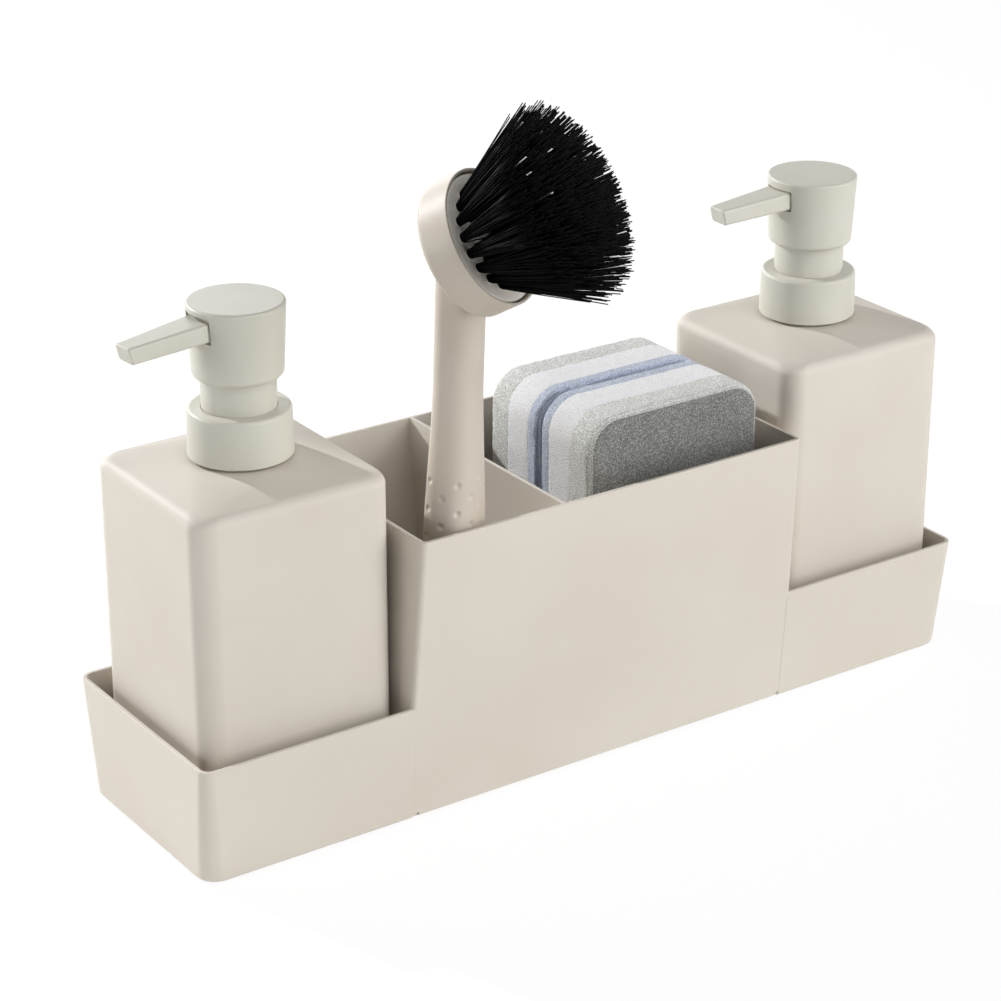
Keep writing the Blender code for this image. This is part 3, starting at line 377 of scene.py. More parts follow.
def mottledMaterial(recipe):
    material, tree, shader = newMaterial(recipe["name"])
    place = addNode(tree, "ShaderNodeTexCoord").outputs["Object"]
    mottle = addNode(tree, "ShaderNodeTexNoise", {
        "Vector": place,
        "Scale": perMetre(recipe["size"]),
        "Detail": 3.0,
    })
    stops = [(at, linearColour(value)) for at, value in recipe["stops"]]
    tint = colourRamp(tree, mottle.outputs["Fac"], stops)
    gloss = colourRamp(tree, mottle.outputs["Fac"], list(zip((0.3, 0.7), recipe["roughness"])))
    tree.links.new(tint, shader.inputs["Base Color"])
    tree.links.new(gloss, shader.inputs["Roughness"])
    if recipe["relief"]:
        relief = addNode(tree, "ShaderNodeBump", {
            "Strength": 1.0,
            "Distance": recipe["relief"] / 1000,
            "Height": mottle.outputs["Fac"],
        })
        tree.links.new(relief.outputs["Normal"], shader.inputs["Normal"])
    shader.inputs["Metallic"].default_value = recipe.get("metallic", 0.0)
    shader.inputs["Specular IOR Level"].default_value = recipe.get("gleam", 0.5)
    if "ior" in recipe:
        shader.inputs["IOR"].default_value = recipe["ior"]
    return material


plain = {key: mottledMaterial(recipe) for key, recipe in plainRecipes.items()}

solidFinishes = {
    "moulded_caddy": plastics["caddy"],
    "bottle_plastic": plastics["bottle"],
    "pump_plastic": plastics["pump"],
    "inner_pump_plastic": plastics["inner"],
    "spring_steel": plain["steel"],
    "scrub_layer": foams["scrub"],
    "foam_layer": foams["foam"],
    "soft_layer": foams["soft"],
    "black_nylon": plain["black"],
    "brush_plate": plastics["plate"],
    "foot_rubber": plain["rubber"],
}
for solid in nodes.values():
    for materialSlot in solid.material_slots:
        materialSlot.material = solidFinishes[materialSlot.material.name.split(".")[0]]
print("materials made:", len(bpy.data.materials))


def evenNormals(piece):
    even = piece.modifiers.new("evenNormals", "WEIGHTED_NORMAL")
    even.keep_sharp = True


usualSharp = 32.0  # degrees, edges bent more than this stay crisp


def newPiece(name, verts, faces, finish, sharpAngle=usualSharp, weighted=True):
    mesh = bpy.data.meshes.new(name)
    mesh.from_pydata([tuple(vert) for vert in verts], [], faces)
    shape = bmesh.new()
    shape.from_mesh(mesh)
    bmesh.ops.recalc_face_normals(shape, faces=shape.faces)
    shape.to_mesh(mesh)
    shape.free()
    mesh.shade_smooth()
    if sharpAngle:
        mesh.set_sharp_from_angle(angle=math.radians(sharpAngle))
    mesh.materials.append(finish)
    piece = bpy.data.objects.new(name, mesh)
    bpy.context.scene.collection.objects.link(piece)
    if weighted:
        evenNormals(piece)
    return piece


def rowFaces(rowCount, ringCount, start=0, caps=True):
    faces = []
    for row in range(rowCount - 1):
        for at in range(ringCount):
            after = (at + 1) % ringCount
            lower, upper = start + row * ringCount, start + (row + 1) * ringCount
            faces.append((lower + at, lower + after, upper + after, upper + at))
    if caps:
        faces.append(tuple(start + at for at in reversed(range(ringCount))))
        faces.append(tuple(start + (rowCount - 1) * ringCount + at for at in range(ringCount)))
    return faces


def roundedCorners(halfX, halfY, radius, steps):
    ring = []
    for signX, signY, start in ((1, 1, 0), (-1, 1, 90), (-1, -1, 180), (1, -1, 270)):
        for step in range(steps + 1):
            angle = math.radians(start + 90 * step / steps)
            ring.append((
                signX * (halfX - radius) + radius * math.cos(angle),
                signY * (halfY - radius) + radius * math.sin(angle),
            ))
    return ring


def arcPoints(centreR, centreZ, radius, first, last, steps):
    return [(
        centreR + radius * math.cos(math.radians(first + (last - first) * step / steps)),
        centreZ + radius * math.sin(math.radians(first + (last - first) * step / steps)),
    ) for step in range(steps + 1)]


def ringPoint(centre, radius, angle, z):
    return Vector((centre[0] + radius * math.cos(angle), centre[1] + radius * math.sin(angle), z))


def roundStep(radius, angle):  # how far an edge's round stands back along and across the side, in degrees
    part = math.radians(angle)
    return radius * (1 - math.sin(part)), radius * (1 - math.cos(part))


def turnedMesh(profile, centre, count, loop):
    verts, faces, rings = [], [], []
    for radius, height in profile:
        if radius < 1e-7:
            rings.append([len(verts)])
            verts.append(Vector((centre[0], centre[1], height)))
            continue
        rings.append(list(range(len(verts), len(verts) + count)))
        verts += [ringPoint(centre, radius, 2 * math.pi * at / count, height) for at in range(count)]
    pairs = list(zip(rings, rings[1:])) + ([(rings[-1], rings[0])] if loop else [])
    for lower, upper in pairs:
        for at in range(count):
            after = (at + 1) % count
            corners = [lower[at % len(lower)], lower[after % len(lower)]]
            corners += [upper[after % len(upper)], upper[at % len(upper)]]
            faces.append(tuple(dict.fromkeys(corners)))
    return verts, faces


def turnedPiece(name, profile, centre, finish, count=96, loop=True, matrix=None):
    verts, faces = turnedMesh(profile, centre, count, loop)
    if matrix:
        verts = [matrix @ vert for vert in verts]
    return newPiece(name, verts, faces, finish)


def cutAway(piece, cutter):
    piece.modifiers.clear()
    change = piece.modifiers.new("cutAway", "BOOLEAN")
    change.operation = "DIFFERENCE"
    change.solver = "EXACT"
    change.object = cutter
    bpy.context.view_layer.update()
    graph = bpy.context.evaluated_depsgraph_get()
    result = bpy.data.meshes.new_from_object(piece.evaluated_get(graph))
    piece.modifiers.clear()
    piece.data = result
    result.set_sharp_from_angle(angle=math.radians(usualSharp))
    evenNormals(piece)
    bpy.data.objects.remove(cutter, do_unlink=True)
    return piece


def mountPiece(piece, body, slot, *replaced):
    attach(piece, body)
    if replaced:
        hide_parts(*replaced)


caddyLook = {
    "edgeSoftness": 0.00035,  # what the mould leaves on the inner and seam edges
    "edgeAngle": 50.0,
    "mergeReach": 0.000002,
    "flatAngle": 0.4,  # degrees, the solid's triangles join into flat faces below it
}


def softenedCopy(name, solid, finish, look):
    shape = bmesh.new()
    shape.from_mesh(solid.data)
    bmesh.ops.remove_doubles(shape, verts=shape.verts, dist=look["mergeReach"])
    flat = math.radians(look["flatAngle"])
    bmesh.ops.dissolve_limit(shape, angle_limit=flat, verts=shape.verts, edges=shape.edges)
    shape.verts.index_update()
    verts = [vert.co.copy() for vert in shape.verts]
    faces = [tuple(vert.index for vert in face.verts) for face in shape.faces]
    shape.free()
    piece = newPiece(name, verts, faces, finish, weighted=False)
    soften = piece.modifiers.new("softEdges", "BEVEL")
    soften.width = look["edgeSoftness"]
    soften.segments = 2
    soften.limit_method = "ANGLE"
    soften.angle_limit = math.radians(look["edgeAngle"])
    soften.harden_normals = False
    evenNormals(piece)
    return piece


caddy = softenedCopy("caddyShell", nodes["caddy_body"], plastics["caddy"], caddyLook)
mountPiece(caddy, "caddy", "moulded_caddy", "caddy_body")
print("caddy made")

bottleShape = {
    "width": 0.0746,
    "depth": 0.0728,
    "cornerRadius": 0.0080,
    "topRounding": 0.0045,
    "baseRounding": 0.0020,
    "wall": 0.0018,
    "foot": 0.0038,
    "top": 0.1303,
    "crownRadius": 0.0195,
    "crown": 0.1336,
    "neckBase": 0.1339,
    "neckRadius": 0.0124,
    "neckTop": 0.1454,
    "neckBore": 0.0098,
    "neckFlare": 0.0006,
    "flareFoot": 0.0002,
    "flareTop": 0.0004,
    "neckEdge": 0.0003,
    "innerSlope": 0.003,
    "crownBulge": 0.35,  # the top's share of roundness, the rest is a straight slope
    "cornerSteps": 14,
    "crownSteps": 8,
    "threadPitch": 0.0042,
    "threadTurns": 1.25,
    "threadRadius": 0.0012,
    "threadSteps": 40,  # a turn
}


def helixPiece(name, centre, radius, lowZ, shape, finish):
    pitch, wire, turnSteps = shape["threadPitch"], shape["threadRadius"], shape["threadSteps"]
    steps, sides = round(shape["threadTurns"] * turnSteps), 8
    verts = []
    for step in range(steps + 1):
        angle = 2 * math.pi * step / turnSteps
        taper = min(1.0, step / 4 + 0.2, (steps - step) / 4 + 0.2)
        for side in range(sides):
            around = 2 * math.pi * side / sides
            reach = radius + wire * taper * math.cos(around)
            z = lowZ + pitch * step / turnSteps + wire * taper * math.sin(around)
            verts.append(ringPoint(centre, reach, angle, z))
    return newPiece(name, verts, rowFaces(steps + 1, sides), finish)


def bottlePiece(side, centre, shape):
    steps, wall = shape["cornerSteps"], shape["wall"]
    halfX, halfY, corner = shape["width"] / 2, shape["depth"] / 2, shape["cornerRadius"]

    def squareRow(z, inset, radius):
        flat = roundedCorners(halfX - inset, halfY - inset, radius, steps)
        return [Vector((centre[0] + x, centre[1] + y, z)) for x, y in flat]

    def roundRow(radius, z):
        angles = [math.radians(90 * (at + 0.5) / (steps + 1)) for at in range(4 * (steps + 1))]
        return [ringPoint(centre, radius, angle, z) for angle in angles]

    rows = []
    base, edge = shape["baseRounding"], shape["topRounding"]
    for angle in range(90, -1, -15):
        rise, inset = roundStep(base, angle)
        rows.append(squareRow(shape["foot"] + rise, inset, corner))
    for height in (0.35, 0.7):
        rows.append(squareRow(shape["foot"] + (shape["top"] - shape["foot"]) * height, 0.0, corner))
    for angle in range(0, 79, 6):  # stops at the slope of the crowned top
        drop, inset = roundStep(edge, angle)
        rows.append(squareRow(shape["top"] - drop, inset, corner))
    shoulder, crown = rows[-1], roundRow(shape["crownRadius"], shape["crown"])
    for step in range(1, shape["crownSteps"] + 1):
        share = step / shape["crownSteps"]
        lift = math.sin(share * math.pi / 2) * shape["crownBulge"] + share * (1 - shape["crownBulge"])
        row = [outer.lerp(inner, share) for outer, inner in zip(shoulder, crown)]
        for point, outer, inner in zip(row, shoulder, crown):
            point.z = outer.z + (inner.z - outer.z) * lift
        rows.append(row)
    for radius, z in (
        (shape["neckRadius"] + shape["neckFlare"], shape["crown"] + shape["flareFoot"]),
        (shape["neckRadius"], shape["neckBase"] + shape["flareTop"]),
        (shape["neckRadius"], shape["neckTop"] - shape["neckEdge"]),
        (shape["neckRadius"] - shape["neckEdge"], shape["neckTop"]),
        (shape["neckBore"] + shape["neckEdge"], shape["neckTop"]),
        (shape["neckBore"], shape["neckTop"] - shape["neckEdge"]),
        (shape["neckBore"], shape["neckBase"] - wall),
    ):
        rows.append(roundRow(radius, z))
    slope = shape["innerSlope"]
    rows.append(squareRow(shape["top"] - wall, wall + slope, corner - wall))
    rows.append(squareRow(shape["top"] - wall - slope, wall, corner - wall))
    rows.append(squareRow(shape["foot"] + wall, wall, corner - wall))
    verts = [point for row in rows for point in row]
    faces = rowFaces(len(rows), len(rows[0]))
    bottle = newPiece(f"{side}BottleShell", verts, faces, plastics["bottle"], 40.0)
    mountPiece(bottle, f"{side}_bottle_shell", "bottle_plastic", f"{side}_bottle")
    low = shape["neckTop"] - shape["threadPitch"] * (shape["threadTurns"] + 0.5)
    thread = helixPiece(f"{side}NeckThread", centre, shape["neckRadius"], low, shape, plastics["bottle"])
    mountPiece(thread, f"{side}_bottle_shell", "bottle_plastic")


pumpShape = {
    "collarRadius": 0.0179,
    "collarTopRadius": 0.0176,
    "collarFoot": 0.1346,
    "collarTop": 0.1514,
    "collarPlate": 0.1498,
    "collarBore": 0.0145,
    "collarRounding": 0.0014,
    "collarEdge": 0.0003,
    "openingGap": 0.00012,
    "openingEdge": 0.0001,
    "guideRadius": 0.01275,
    "guideFoot": 0.1483,
    "guideFlange": 0.0138,
    "guidePlate": 0.1495,
    "guideTop": 0.1648,
    "guideWall": 0.0014,
    "guideEdge": 0.0004,
    "guideEdgeCut": 0.0001,
    "stemHole": 0.0043,
    "headTopRadius": 0.0166,
    "headBaseRadius": 0.0154,
    "headFoot": 0.1624,
    "headTop": 0.1882,
    "headTopRounding": 0.0010,
    "headBaseRounding": 0.0018,
    "headWall": 0.0015,
    "headLip": 0.0002,
    "headTopWall": 0.0050,
    "socketRadius": 0.0062,
    "socketLength": 0.0120,
    "socketBore": 0.0042,
}


def collarPiece(side, centre, shape):
    curve, edge = shape["collarRounding"], shape["collarEdge"]
    opening = shape["guideRadius"] + shape["openingGap"]
    profile = arcPoints(shape["collarTopRadius"] - curve, shape["collarTop"] - curve, curve, 90, 0, 8) + [
        (shape["collarRadius"], shape["collarFoot"] + edge),
        (shape["collarRadius"] - edge, shape["collarFoot"]),
        (shape["collarBore"] + edge, shape["collarFoot"]),
        (shape["collarBore"], shape["collarFoot"] + edge),
        (shape["collarBore"], shape["collarPlate"]),
        (opening, shape["collarPlate"]),
        (opening, shape["collarTop"] - shape["openingEdge"]),
        (opening + shape["openingEdge"], shape["collarTop"]),
    ]
    collar = turnedPiece(f"{side}CollarCap", profile, centre, plastics["pump"])
    mountPiece(collar, f"{side}_closure", "pump_plastic", f"{side}_collar")
    low = bottleShape["neckTop"] - bottleShape["threadPitch"] * (bottleShape["threadTurns"] + 1)
    bore, finish = shape["collarBore"], plastics["pump"]
    thread = helixPiece(f"{side}CollarThread", centre, bore, low, bottleShape, finish)
    mountPiece(thread, f"{side}_closure", "pump_plastic")


def guidePiece(side, centre, shape):
    inner, edge, cut = shape["guideRadius"] - shape["guideWall"], shape["guideEdge"], shape["guideEdgeCut"]
    profile = [
        (shape["guideRadius"] - edge, shape["guideTop"]),
        (shape["guideRadius"] - cut, shape["guideTop"] - cut),
        (shape["guideRadius"], shape["guideTop"] - edge),
        (shape["guideRadius"], shape["guidePlate"]),
        (shape["guideFlange"], shape["guidePlate"]),
        (shape["guideFlange"], shape["guideFoot"]),
        (shape["stemHole"], shape["guideFoot"]),
        (shape["stemHole"], shape["guidePlate"]),
        (inner, shape["guidePlate"]),
        (inner, shape["guideTop"]),
    ]
    guide = turnedPiece(f"{side}GuideTube", profile, centre, plastics["pump"])
    mountPiece(guide, f"{side}_pump_base", "pump_plastic", f"{side}_pump_guide")


# The spout is a bar that stands in a pocket of the head, on a narrower neck; it runs toward -X
spoutShape = {
    "turns": {"left": 5.1, "right": -1.4},  # degrees about the pump's axis
    "neckStart": 0.0052,
    "barStart": 0.0136,
    "rootReach": 0.0166,
    "reach": 0.0443,
    "barStations": (16.6, 20, 24, 28, 32, 36, 38, 40, 41.5, 42.5),  # mm from the pump's axis
    "undercut": 0.0015,
    "undercutPower": 8,  # keeps the slant of the end face to the last few millimetres
    "rootWidth": 0.0122,
    "tipWidth": 0.0084,
    "rootHeight": 0.0067,
    "tipHeight": 0.0059,
    "rootDrop": 0.0037,
    "tipDrop": 0.0060,
    "rounding": 0.0011,
    "endRounding": 0.0006,
    "leastRounding": 0.0003,
    "neckWidth": 0.0086,
    "neckHeight": 0.0046,
    "pocketMargin": 0.0006,
    "pocketAbove": {"left": 0.0016, "right": 0.0004},
    "pocketBelow": 0.0005,
    "pocketFloor": 0.0141,
    "pocketEnd": 0.0300,
    "outletRadius": 0.0014,
    "outletInset": 0.0046,
    "outletDepth": 0.0060,
}


def blockPiece(name, low, high, matrix, finish):
    verts = [matrix @ Vector((x, y, z)) for z in (low[2], high[2]) for x, y in (
        (low[0], low[1]), (high[0], low[1]), (high[0], high[1]), (low[0], high[1]),
    )]
    return newPiece(name, verts, rowFaces(2, 4), finish, weighted=False)


def spoutPiece(side, top, matrix, shape):
    rootZ = top - shape["rootDrop"] - shape["rootHeight"] / 2
    tipZ = top - shape["tipDrop"] - shape["tipHeight"] / 2
    run = shape["reach"] - shape["rootReach"]

    def spoutRow(reach, width, height, z, inset=0.0):
        radius = max(shape["rounding"] - inset, shape["leastRounding"])
        flat = roundedCorners(width / 2 - inset, height / 2 - inset, radius, 6)
        share = min(max((reach - shape["barStart"]) / (shape["reach"] - shape["barStart"]), 0.0), 1.0)
        slant = shape["undercut"] * share ** shape["undercutPower"]
        leans = [slant * (0.5 - up / height) for _, up in flat]
        return [Vector((lean - reach, aside, z + up)) for lean, (aside, up) in zip(leans, flat)]

    def barRow(reach, inset):
        share = min(max((reach - shape["rootReach"]) / run, 0.0), 1.0)
        width = shape["rootWidth"] + (shape["tipWidth"] - shape["rootWidth"]) * share
        height = shape["rootHeight"] + (shape["tipHeight"] - shape["rootHeight"]) * share
        return spoutRow(reach, width, height, rootZ + (tipZ - rootZ) * share, inset)

    end, neck = shape["endRounding"], (shape["neckWidth"], shape["neckHeight"])
    rows = [spoutRow(reach, *neck, rootZ) for reach in (shape["neckStart"], shape["barStart"])]
    curve = [roundStep(end, angle) for angle in range(0, 91, 15)]
    rows += [barRow(shape["barStart"] + depth, inset) for depth, inset in reversed(curve)]
    rows += [barRow(station / 1000, 0.0) for station in shape["barStations"]]
    rows += [barRow(shape["reach"] - depth, inset) for depth, inset in curve]
    verts = [matrix @ point for row in rows for point in row]
    spout = newPiece(f"{side}PumpSpout", verts, rowFaces(len(rows), len(rows[0])), plastics["pump"], 40.0)
    outlet = Matrix.Translation((shape["outletInset"] - shape["reach"], 0.0, tipZ))
    bore, depth = shape["outletRadius"], -shape["outletDepth"]
    hole = [(0.0, 0.0), (bore, 0.0), (bore, depth), (0.0, depth)]
    drill = turnedPiece("outlet", hole, (0.0, 0.0), plastics["pump"], 32, False, matrix=matrix @ outlet)
    return cutAway(spout, drill)


def headPiece(side, centre, shape, spout):
    top, foot = shape["headTop"], shape["headFoot"]
    ceiling = top - shape["headTopWall"]
    socketFoot = ceiling - shape["socketLength"]
    edge = shape["headTopRounding"]
    profile = [(0.0, top), (shape["headTopRadius"] * 0.5, top)]
    profile += arcPoints(shape["headTopRadius"] - edge, top - edge, edge, 90, 0, 8)
    edge = shape["headBaseRounding"]
    profile += arcPoints(shape["headBaseRadius"] - edge, foot + edge, edge, 0, -80, 8) + [
        (shape["headBaseRadius"] - shape["headWall"], foot + shape["headLip"]),
        (shape["headTopRadius"] - shape["headWall"], ceiling),
        (shape["socketRadius"], ceiling),
        (shape["socketRadius"], socketFoot),
        (shape["socketBore"], socketFoot),
        (shape["socketBore"], ceiling),
        (0.0, ceiling),
    ]
    head = turnedPiece(f"{side}PumpHead", profile, centre, plastics["pump"], 144, False)
    matrix = Matrix.Translation((*centre, 0.0)) @ Matrix.Rotation(math.radians(spout["turns"][side]), 4, "Z")
    aside = spout["rootWidth"] / 2 + spout["pocketMargin"]
    low = (-spout["pocketEnd"], -aside, top - spout["rootDrop"] - spout["rootHeight"] - spout["pocketBelow"])
    high = (-spout["pocketFloor"], aside, top - spout["rootDrop"] + spout["pocketAbove"][side])
    cutAway(head, blockPiece("pocket", low, high, matrix, plastics["pump"]))
    mountPiece(head, f"{side}_spout_head", "pump_plastic", f"{side}_pump_head")
    mountPiece(spoutPiece(side, top, matrix, spout), f"{side}_spout_head", "pump_plastic")


for side in ("left", "right"):
    low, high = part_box(f"{side}_collar")
    pumpCentre = tuple((low + high).xy / 2)
    bottlePiece(side, pumpCentre, bottleShape)
    collarPiece(side, pumpCentre, pumpShape)
    guidePiece(side, pumpCentre, pumpShape)
    headPiece(side, pumpCentre, pumpShape, spoutShape)
print("dispensers made")

brushShape = {
    "foot": Vector((-0.05794, -0.003294, 0.00475)),
    "turn": 30.3,
    "sideLean": 0.65,
    "lean": 4.2,
    "length": 0.2007,
    "gripLength": 0.1020,
    "gripWidth": 0.0240,
    "gripThickness": 0.0182,
    "width": 0.0194,
    "thickness": 0.0146,
    "fullness": 2.6,  # 2 is an ellipse, more is squarer
    "endRounding": 0.0050,
    "headTilt": 56.5,
    "cupRadius": 0.0236,
    "cupDepth": 0.0130,
    "cupBackRounding": 0.0025,
    "cupLip": 0.0010,
    "cupFloor": 0.0089,
    "cupOverlap": 0.0120,  # the handle's rows stop short of the cup by this
    "lipEdge": 0.0003,
    "rimEdge": 0.0004,
    "rimEdgeCut": 0.0001,
    "plateRadius": 0.0220,
    "plateFoot": 0.0092,
    "plateTop": 0.0122,
    "plateEdge": 0.0007,
    "sides": 180,
    "mesh": 0.00038,  # fine enough for the dimples
    "plainMesh": 0.0030,
    "waistBend": 0.35,
    "dimplePitch": 0.0103,
    "dimpleColumns": 12,
    "dimpleRadius": 0.00135,
    "dimpleDepth": 0.00070,
    "dimpleTop": 0.1205,
    "dimpleClear": 0.0020,
}


def brushFrame(shape):
    aside = Matrix.Rotation(math.radians(-shape["sideLean"]), 4, "Y")
    ahead = Matrix.Rotation(math.radians(shape["lean"]), 4, "X")
    turn = Matrix.Rotation(math.radians(shape["turn"]), 4, "Z")
    return Matrix.Translation(shape["foot"]) @ (aside @ ahead) @ turn


def headFrame(shape):
    tilt = Matrix.Rotation(math.radians(shape["headTilt"]), 4, "X")
    return brushFrame(shape) @ Matrix.Translation((0.0, 0.0, shape["length"])) @ tilt


def ovalRow(width, thickness, z, shape):
    row = []
    for step in range(shape["sides"]):
        angle = 2 * math.pi * (step + 0.5) / shape["sides"]
        cosine, sine = math.cos(angle), math.sin(angle)
        power = 2 / shape["fullness"]
        row.append(Vector((
            math.copysign(abs(cosine) ** power, cosine) * width / 2,
            math.copysign(abs(sine) ** power, sine) * thickness / 2,
            z,
        )))
    return row


def handleSize(z, shape):  # the grip, then a smooth waist to the upper handle
    waistTop = (shape["gripLength"] + shape["length"]) / 2
    share = min(max((z - shape["gripLength"]) / (waistTop - shape["gripLength"]), 0.0), 1.0)
    share = share * share * (3 - 2 * share) * shape["waistBend"] + share * (1 - shape["waistBend"])
    return (
        shape["gripWidth"] + (shape["width"] - shape["gripWidth"]) * share,
        shape["gripThickness"] + (shape["thickness"] - shape["gripThickness"]) * share,
    )


def dimpleRow(row, shape):
    lengths = [0.0]
    for first, second in zip(row, row[1:] + row[:1]):
        lengths.append(lengths[-1] + (second - first).length)
    pitch = lengths[-1] / shape["dimpleColumns"]
    moved = []
    for at, point in enumerate(row):
        column = round(lengths[at] / pitch)
        drop = (shape["dimpleTop"] - point.z) / shape["dimplePitch"] - (0.5 if column % 2 == 0 else 0.0)
        along = (drop - max(round(drop), 0)) * shape["dimplePitch"]
        away = math.hypot(lengths[at] - column * pitch, along) / shape["dimpleRadius"]
        depth = shape["dimpleDepth"] * max(1 - away * away, 0.0) ** 1.1
        moved.append(point - Vector((point.x, point.y, 0.0)).normalized() * depth)
    return moved


def handlePiece(shape):
    rows = []
    for angle in range(0, 91, 10):
        inset, rise = roundStep(shape["endRounding"], angle)
        rows.append(ovalRow(shape["gripWidth"] - 2 * inset, shape["gripThickness"] - 2 * inset, rise, shape))
    z = shape["endRounding"] + shape["mesh"]
    while z < shape["length"] - shape["cupOverlap"]:
        dimpled = z < shape["dimpleTop"] + shape["dimpleClear"]
        row = ovalRow(*handleSize(z, shape), z, shape)
        rows.append(dimpleRow(row, shape) if dimpled else row)
        z += shape["mesh"] if dimpled else shape["plainMesh"]
    frameMatrix, cupPlane = brushFrame(shape), headFrame(shape)
    normal = cupPlane.to_3x3() @ Vector((0.0, 0.0, 1.0))
    through = cupPlane @ Vector((0.0, 0.0, shape["cupDepth"] * 0.5))
    axis = frameMatrix.to_3x3() @ Vector((0.0, 0.0, 1.0))
    verts = [frameMatrix @ point for row in rows for point in row]
    for point in ovalRow(shape["width"], shape["thickness"], 0.0, shape):
        start = frameMatrix @ point
        verts.append(start + axis * ((through - start).dot(normal) / axis.dot(normal)))
    faces = rowFaces(len(rows) + 1, shape["sides"])
    return newPiece("brushHandleGrip", verts, faces, plastics["brush"], 50.0, False)


def cupPiece(shape):
    back, radius, depth = shape["cupBackRounding"], shape["cupRadius"], shape["cupDepth"]
    inner, lip, rim, cut = radius - shape["cupLip"], shape["lipEdge"], shape["rimEdge"], shape["rimEdgeCut"]
    profile = [(0.0, shape["cupFloor"]), (inner, shape["cupFloor"]), (inner, depth - lip)]
    profile += [(inner + lip, depth), (radius - rim, depth)]
    profile += [(radius - cut, depth - cut), (radius, depth - rim)]
    profile += arcPoints(radius - back, back, back, 0, -90, 8) + [(0.0, 0.0)]
    return turnedPiece("brushCup", profile, (0.0, 0.0), plastics["brush"], 128, False, headFrame(shape))


def platePiece(shape):
    edge = shape["plateEdge"]
    profile = [(0.0, shape["plateTop"])]
    profile += arcPoints(shape["plateRadius"] - edge, shape["plateTop"] - edge, edge, 90, 0, 5)
    profile += [(shape["plateRadius"], shape["plateFoot"]), (0.0, shape["plateFoot"])]
    return turnedPiece("brushPlateDisc", profile, (0.0, 0.0), plastics["plate"], 128, False, headFrame(shape))


bristleShape = {
    "ringRadii": (0.0, 0.0056, 0.0110, 0.0164),
    "ringCounts": (1, 7, 13, 19),
    "strands": 50,
    "strandRadius": 0.00027,
    "rootRadius": 0.00125,
    "rootDepth": 0.0006,
    "rimWidth": 0.0008,
    "rimGap": 0.00025,
    "rimHeight": 0.0004,
    "rimShoulder": 0.00025,
    "rimFoot": 0.0001,
    "tipRadius": 0.0050,
    "spread": 0.0293,
    "length": 0.0390,
    "edgeLength": 0.0338,
    "trim": 0.0012,
    "edgeLimit": 1.25,
    "boxMargin": 0.004,  # share of a strand's length
    "taper": 0.10,
    "jitter": 0.00050,
    "lengthJitter": 0.0013,
    "bow": 0.00030,
    "strayShare": 0.012,
    "strayReach": 4.5,
    # share of strands coloured white as painted glints
    "paintedGlintShare": 0.007,
    "sections": 4,
    "seed": 11,
}


def tuftPlaces(shape):
    places = []
    for radius, count in zip(shape["ringRadii"], shape["ringCounts"]):
        angles = [2 * math.pi * (at + 0.5) / count for at in range(count)]
        places += [(radius * math.cos(angle), radius * math.sin(angle)) for angle in angles]
    return places


def bristlePiece(shape, brush):
    chance = random.Random(shape["seed"])
    golden = math.pi * (3 - math.sqrt(5))
    matrix = headFrame(brush)
    low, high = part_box("brush_bristles")
    fan = shape["spread"] / shape["ringRadii"][-1]
    base = brush["plateTop"] - shape["rootDepth"]
    strands = {"brushBristleTufts": ([], [], plain["black"]), "brushPaintedGlintStrands": ([], [], plain["pale"])}
    for tuftX, tuftY in tuftPlaces(shape):
        for at in range(shape["strands"]):
            reach, angle = math.sqrt((at + 0.5) / shape["strands"]), at * golden
            offX, offY = reach * math.cos(angle), reach * math.sin(angle)
            wild = shape["strayReach"] if chance.random() < shape["strayShare"] else 1.0
            tipX = tuftX * fan + offX * shape["tipRadius"] + chance.gauss(0, shape["jitter"]) * wild
            tipY = tuftY * fan + offY * shape["tipRadius"] + chance.gauss(0, shape["jitter"]) * wild
            rim = min(math.hypot(tipX, tipY) / shape["spread"], shape["edgeLimit"])
            length = shape["length"] - (shape["length"] - shape["edgeLength"]) * rim * rim
            length += chance.uniform(-1, 0.35) * shape["lengthJitter"]
            root = Vector((tuftX + offX * shape["rootRadius"], tuftY + offY * shape["rootRadius"], base))
            tip = Vector((tipX, tipY, base + shape["trim"] + length))
            worldRoot, worldTip = matrix @ root, matrix @ tip
            keep = 1.0
            for axis in range(3):  # no strand leaves the box of the solid
                edge = min(max(worldTip[axis], low[axis]), high[axis])
                if edge != worldTip[axis]:
                    keep = min(keep, (edge - worldRoot[axis]) / (worldTip[axis] - worldRoot[axis]))
            tip = root + (tip - root) * (keep - shape["boxMargin"])
            bow = Vector((chance.gauss(0, 1), chance.gauss(0, 1), 0.0)) * shape["bow"]
            # a few strands take the white of painted glints instead of the black
            pale = chance.random() < shape["paintedGlintShare"]
            verts, faces, _ = strands["brushPaintedGlintStrands" if pale else "brushBristleTufts"]
            first = len(verts)
            for section in range(shape["sections"] + 1):
                share = section / shape["sections"]
                centre = root.lerp(tip, share) + bow * (share * (1 - share)) * 4
                thin = shape["strandRadius"] * (1.0 - shape["taper"] * share)
                for corner in range(3):
                    turn = 2 * math.pi * corner / 3 + angle
                    verts.append(matrix @ (centre + Vector((math.cos(turn), math.sin(turn), 0.0)) * thin))
            faces += rowFaces(shape["sections"] + 1, 3, first)
    return [newPiece(name, *parts, 0.0, False) for name, parts in strands.items()]


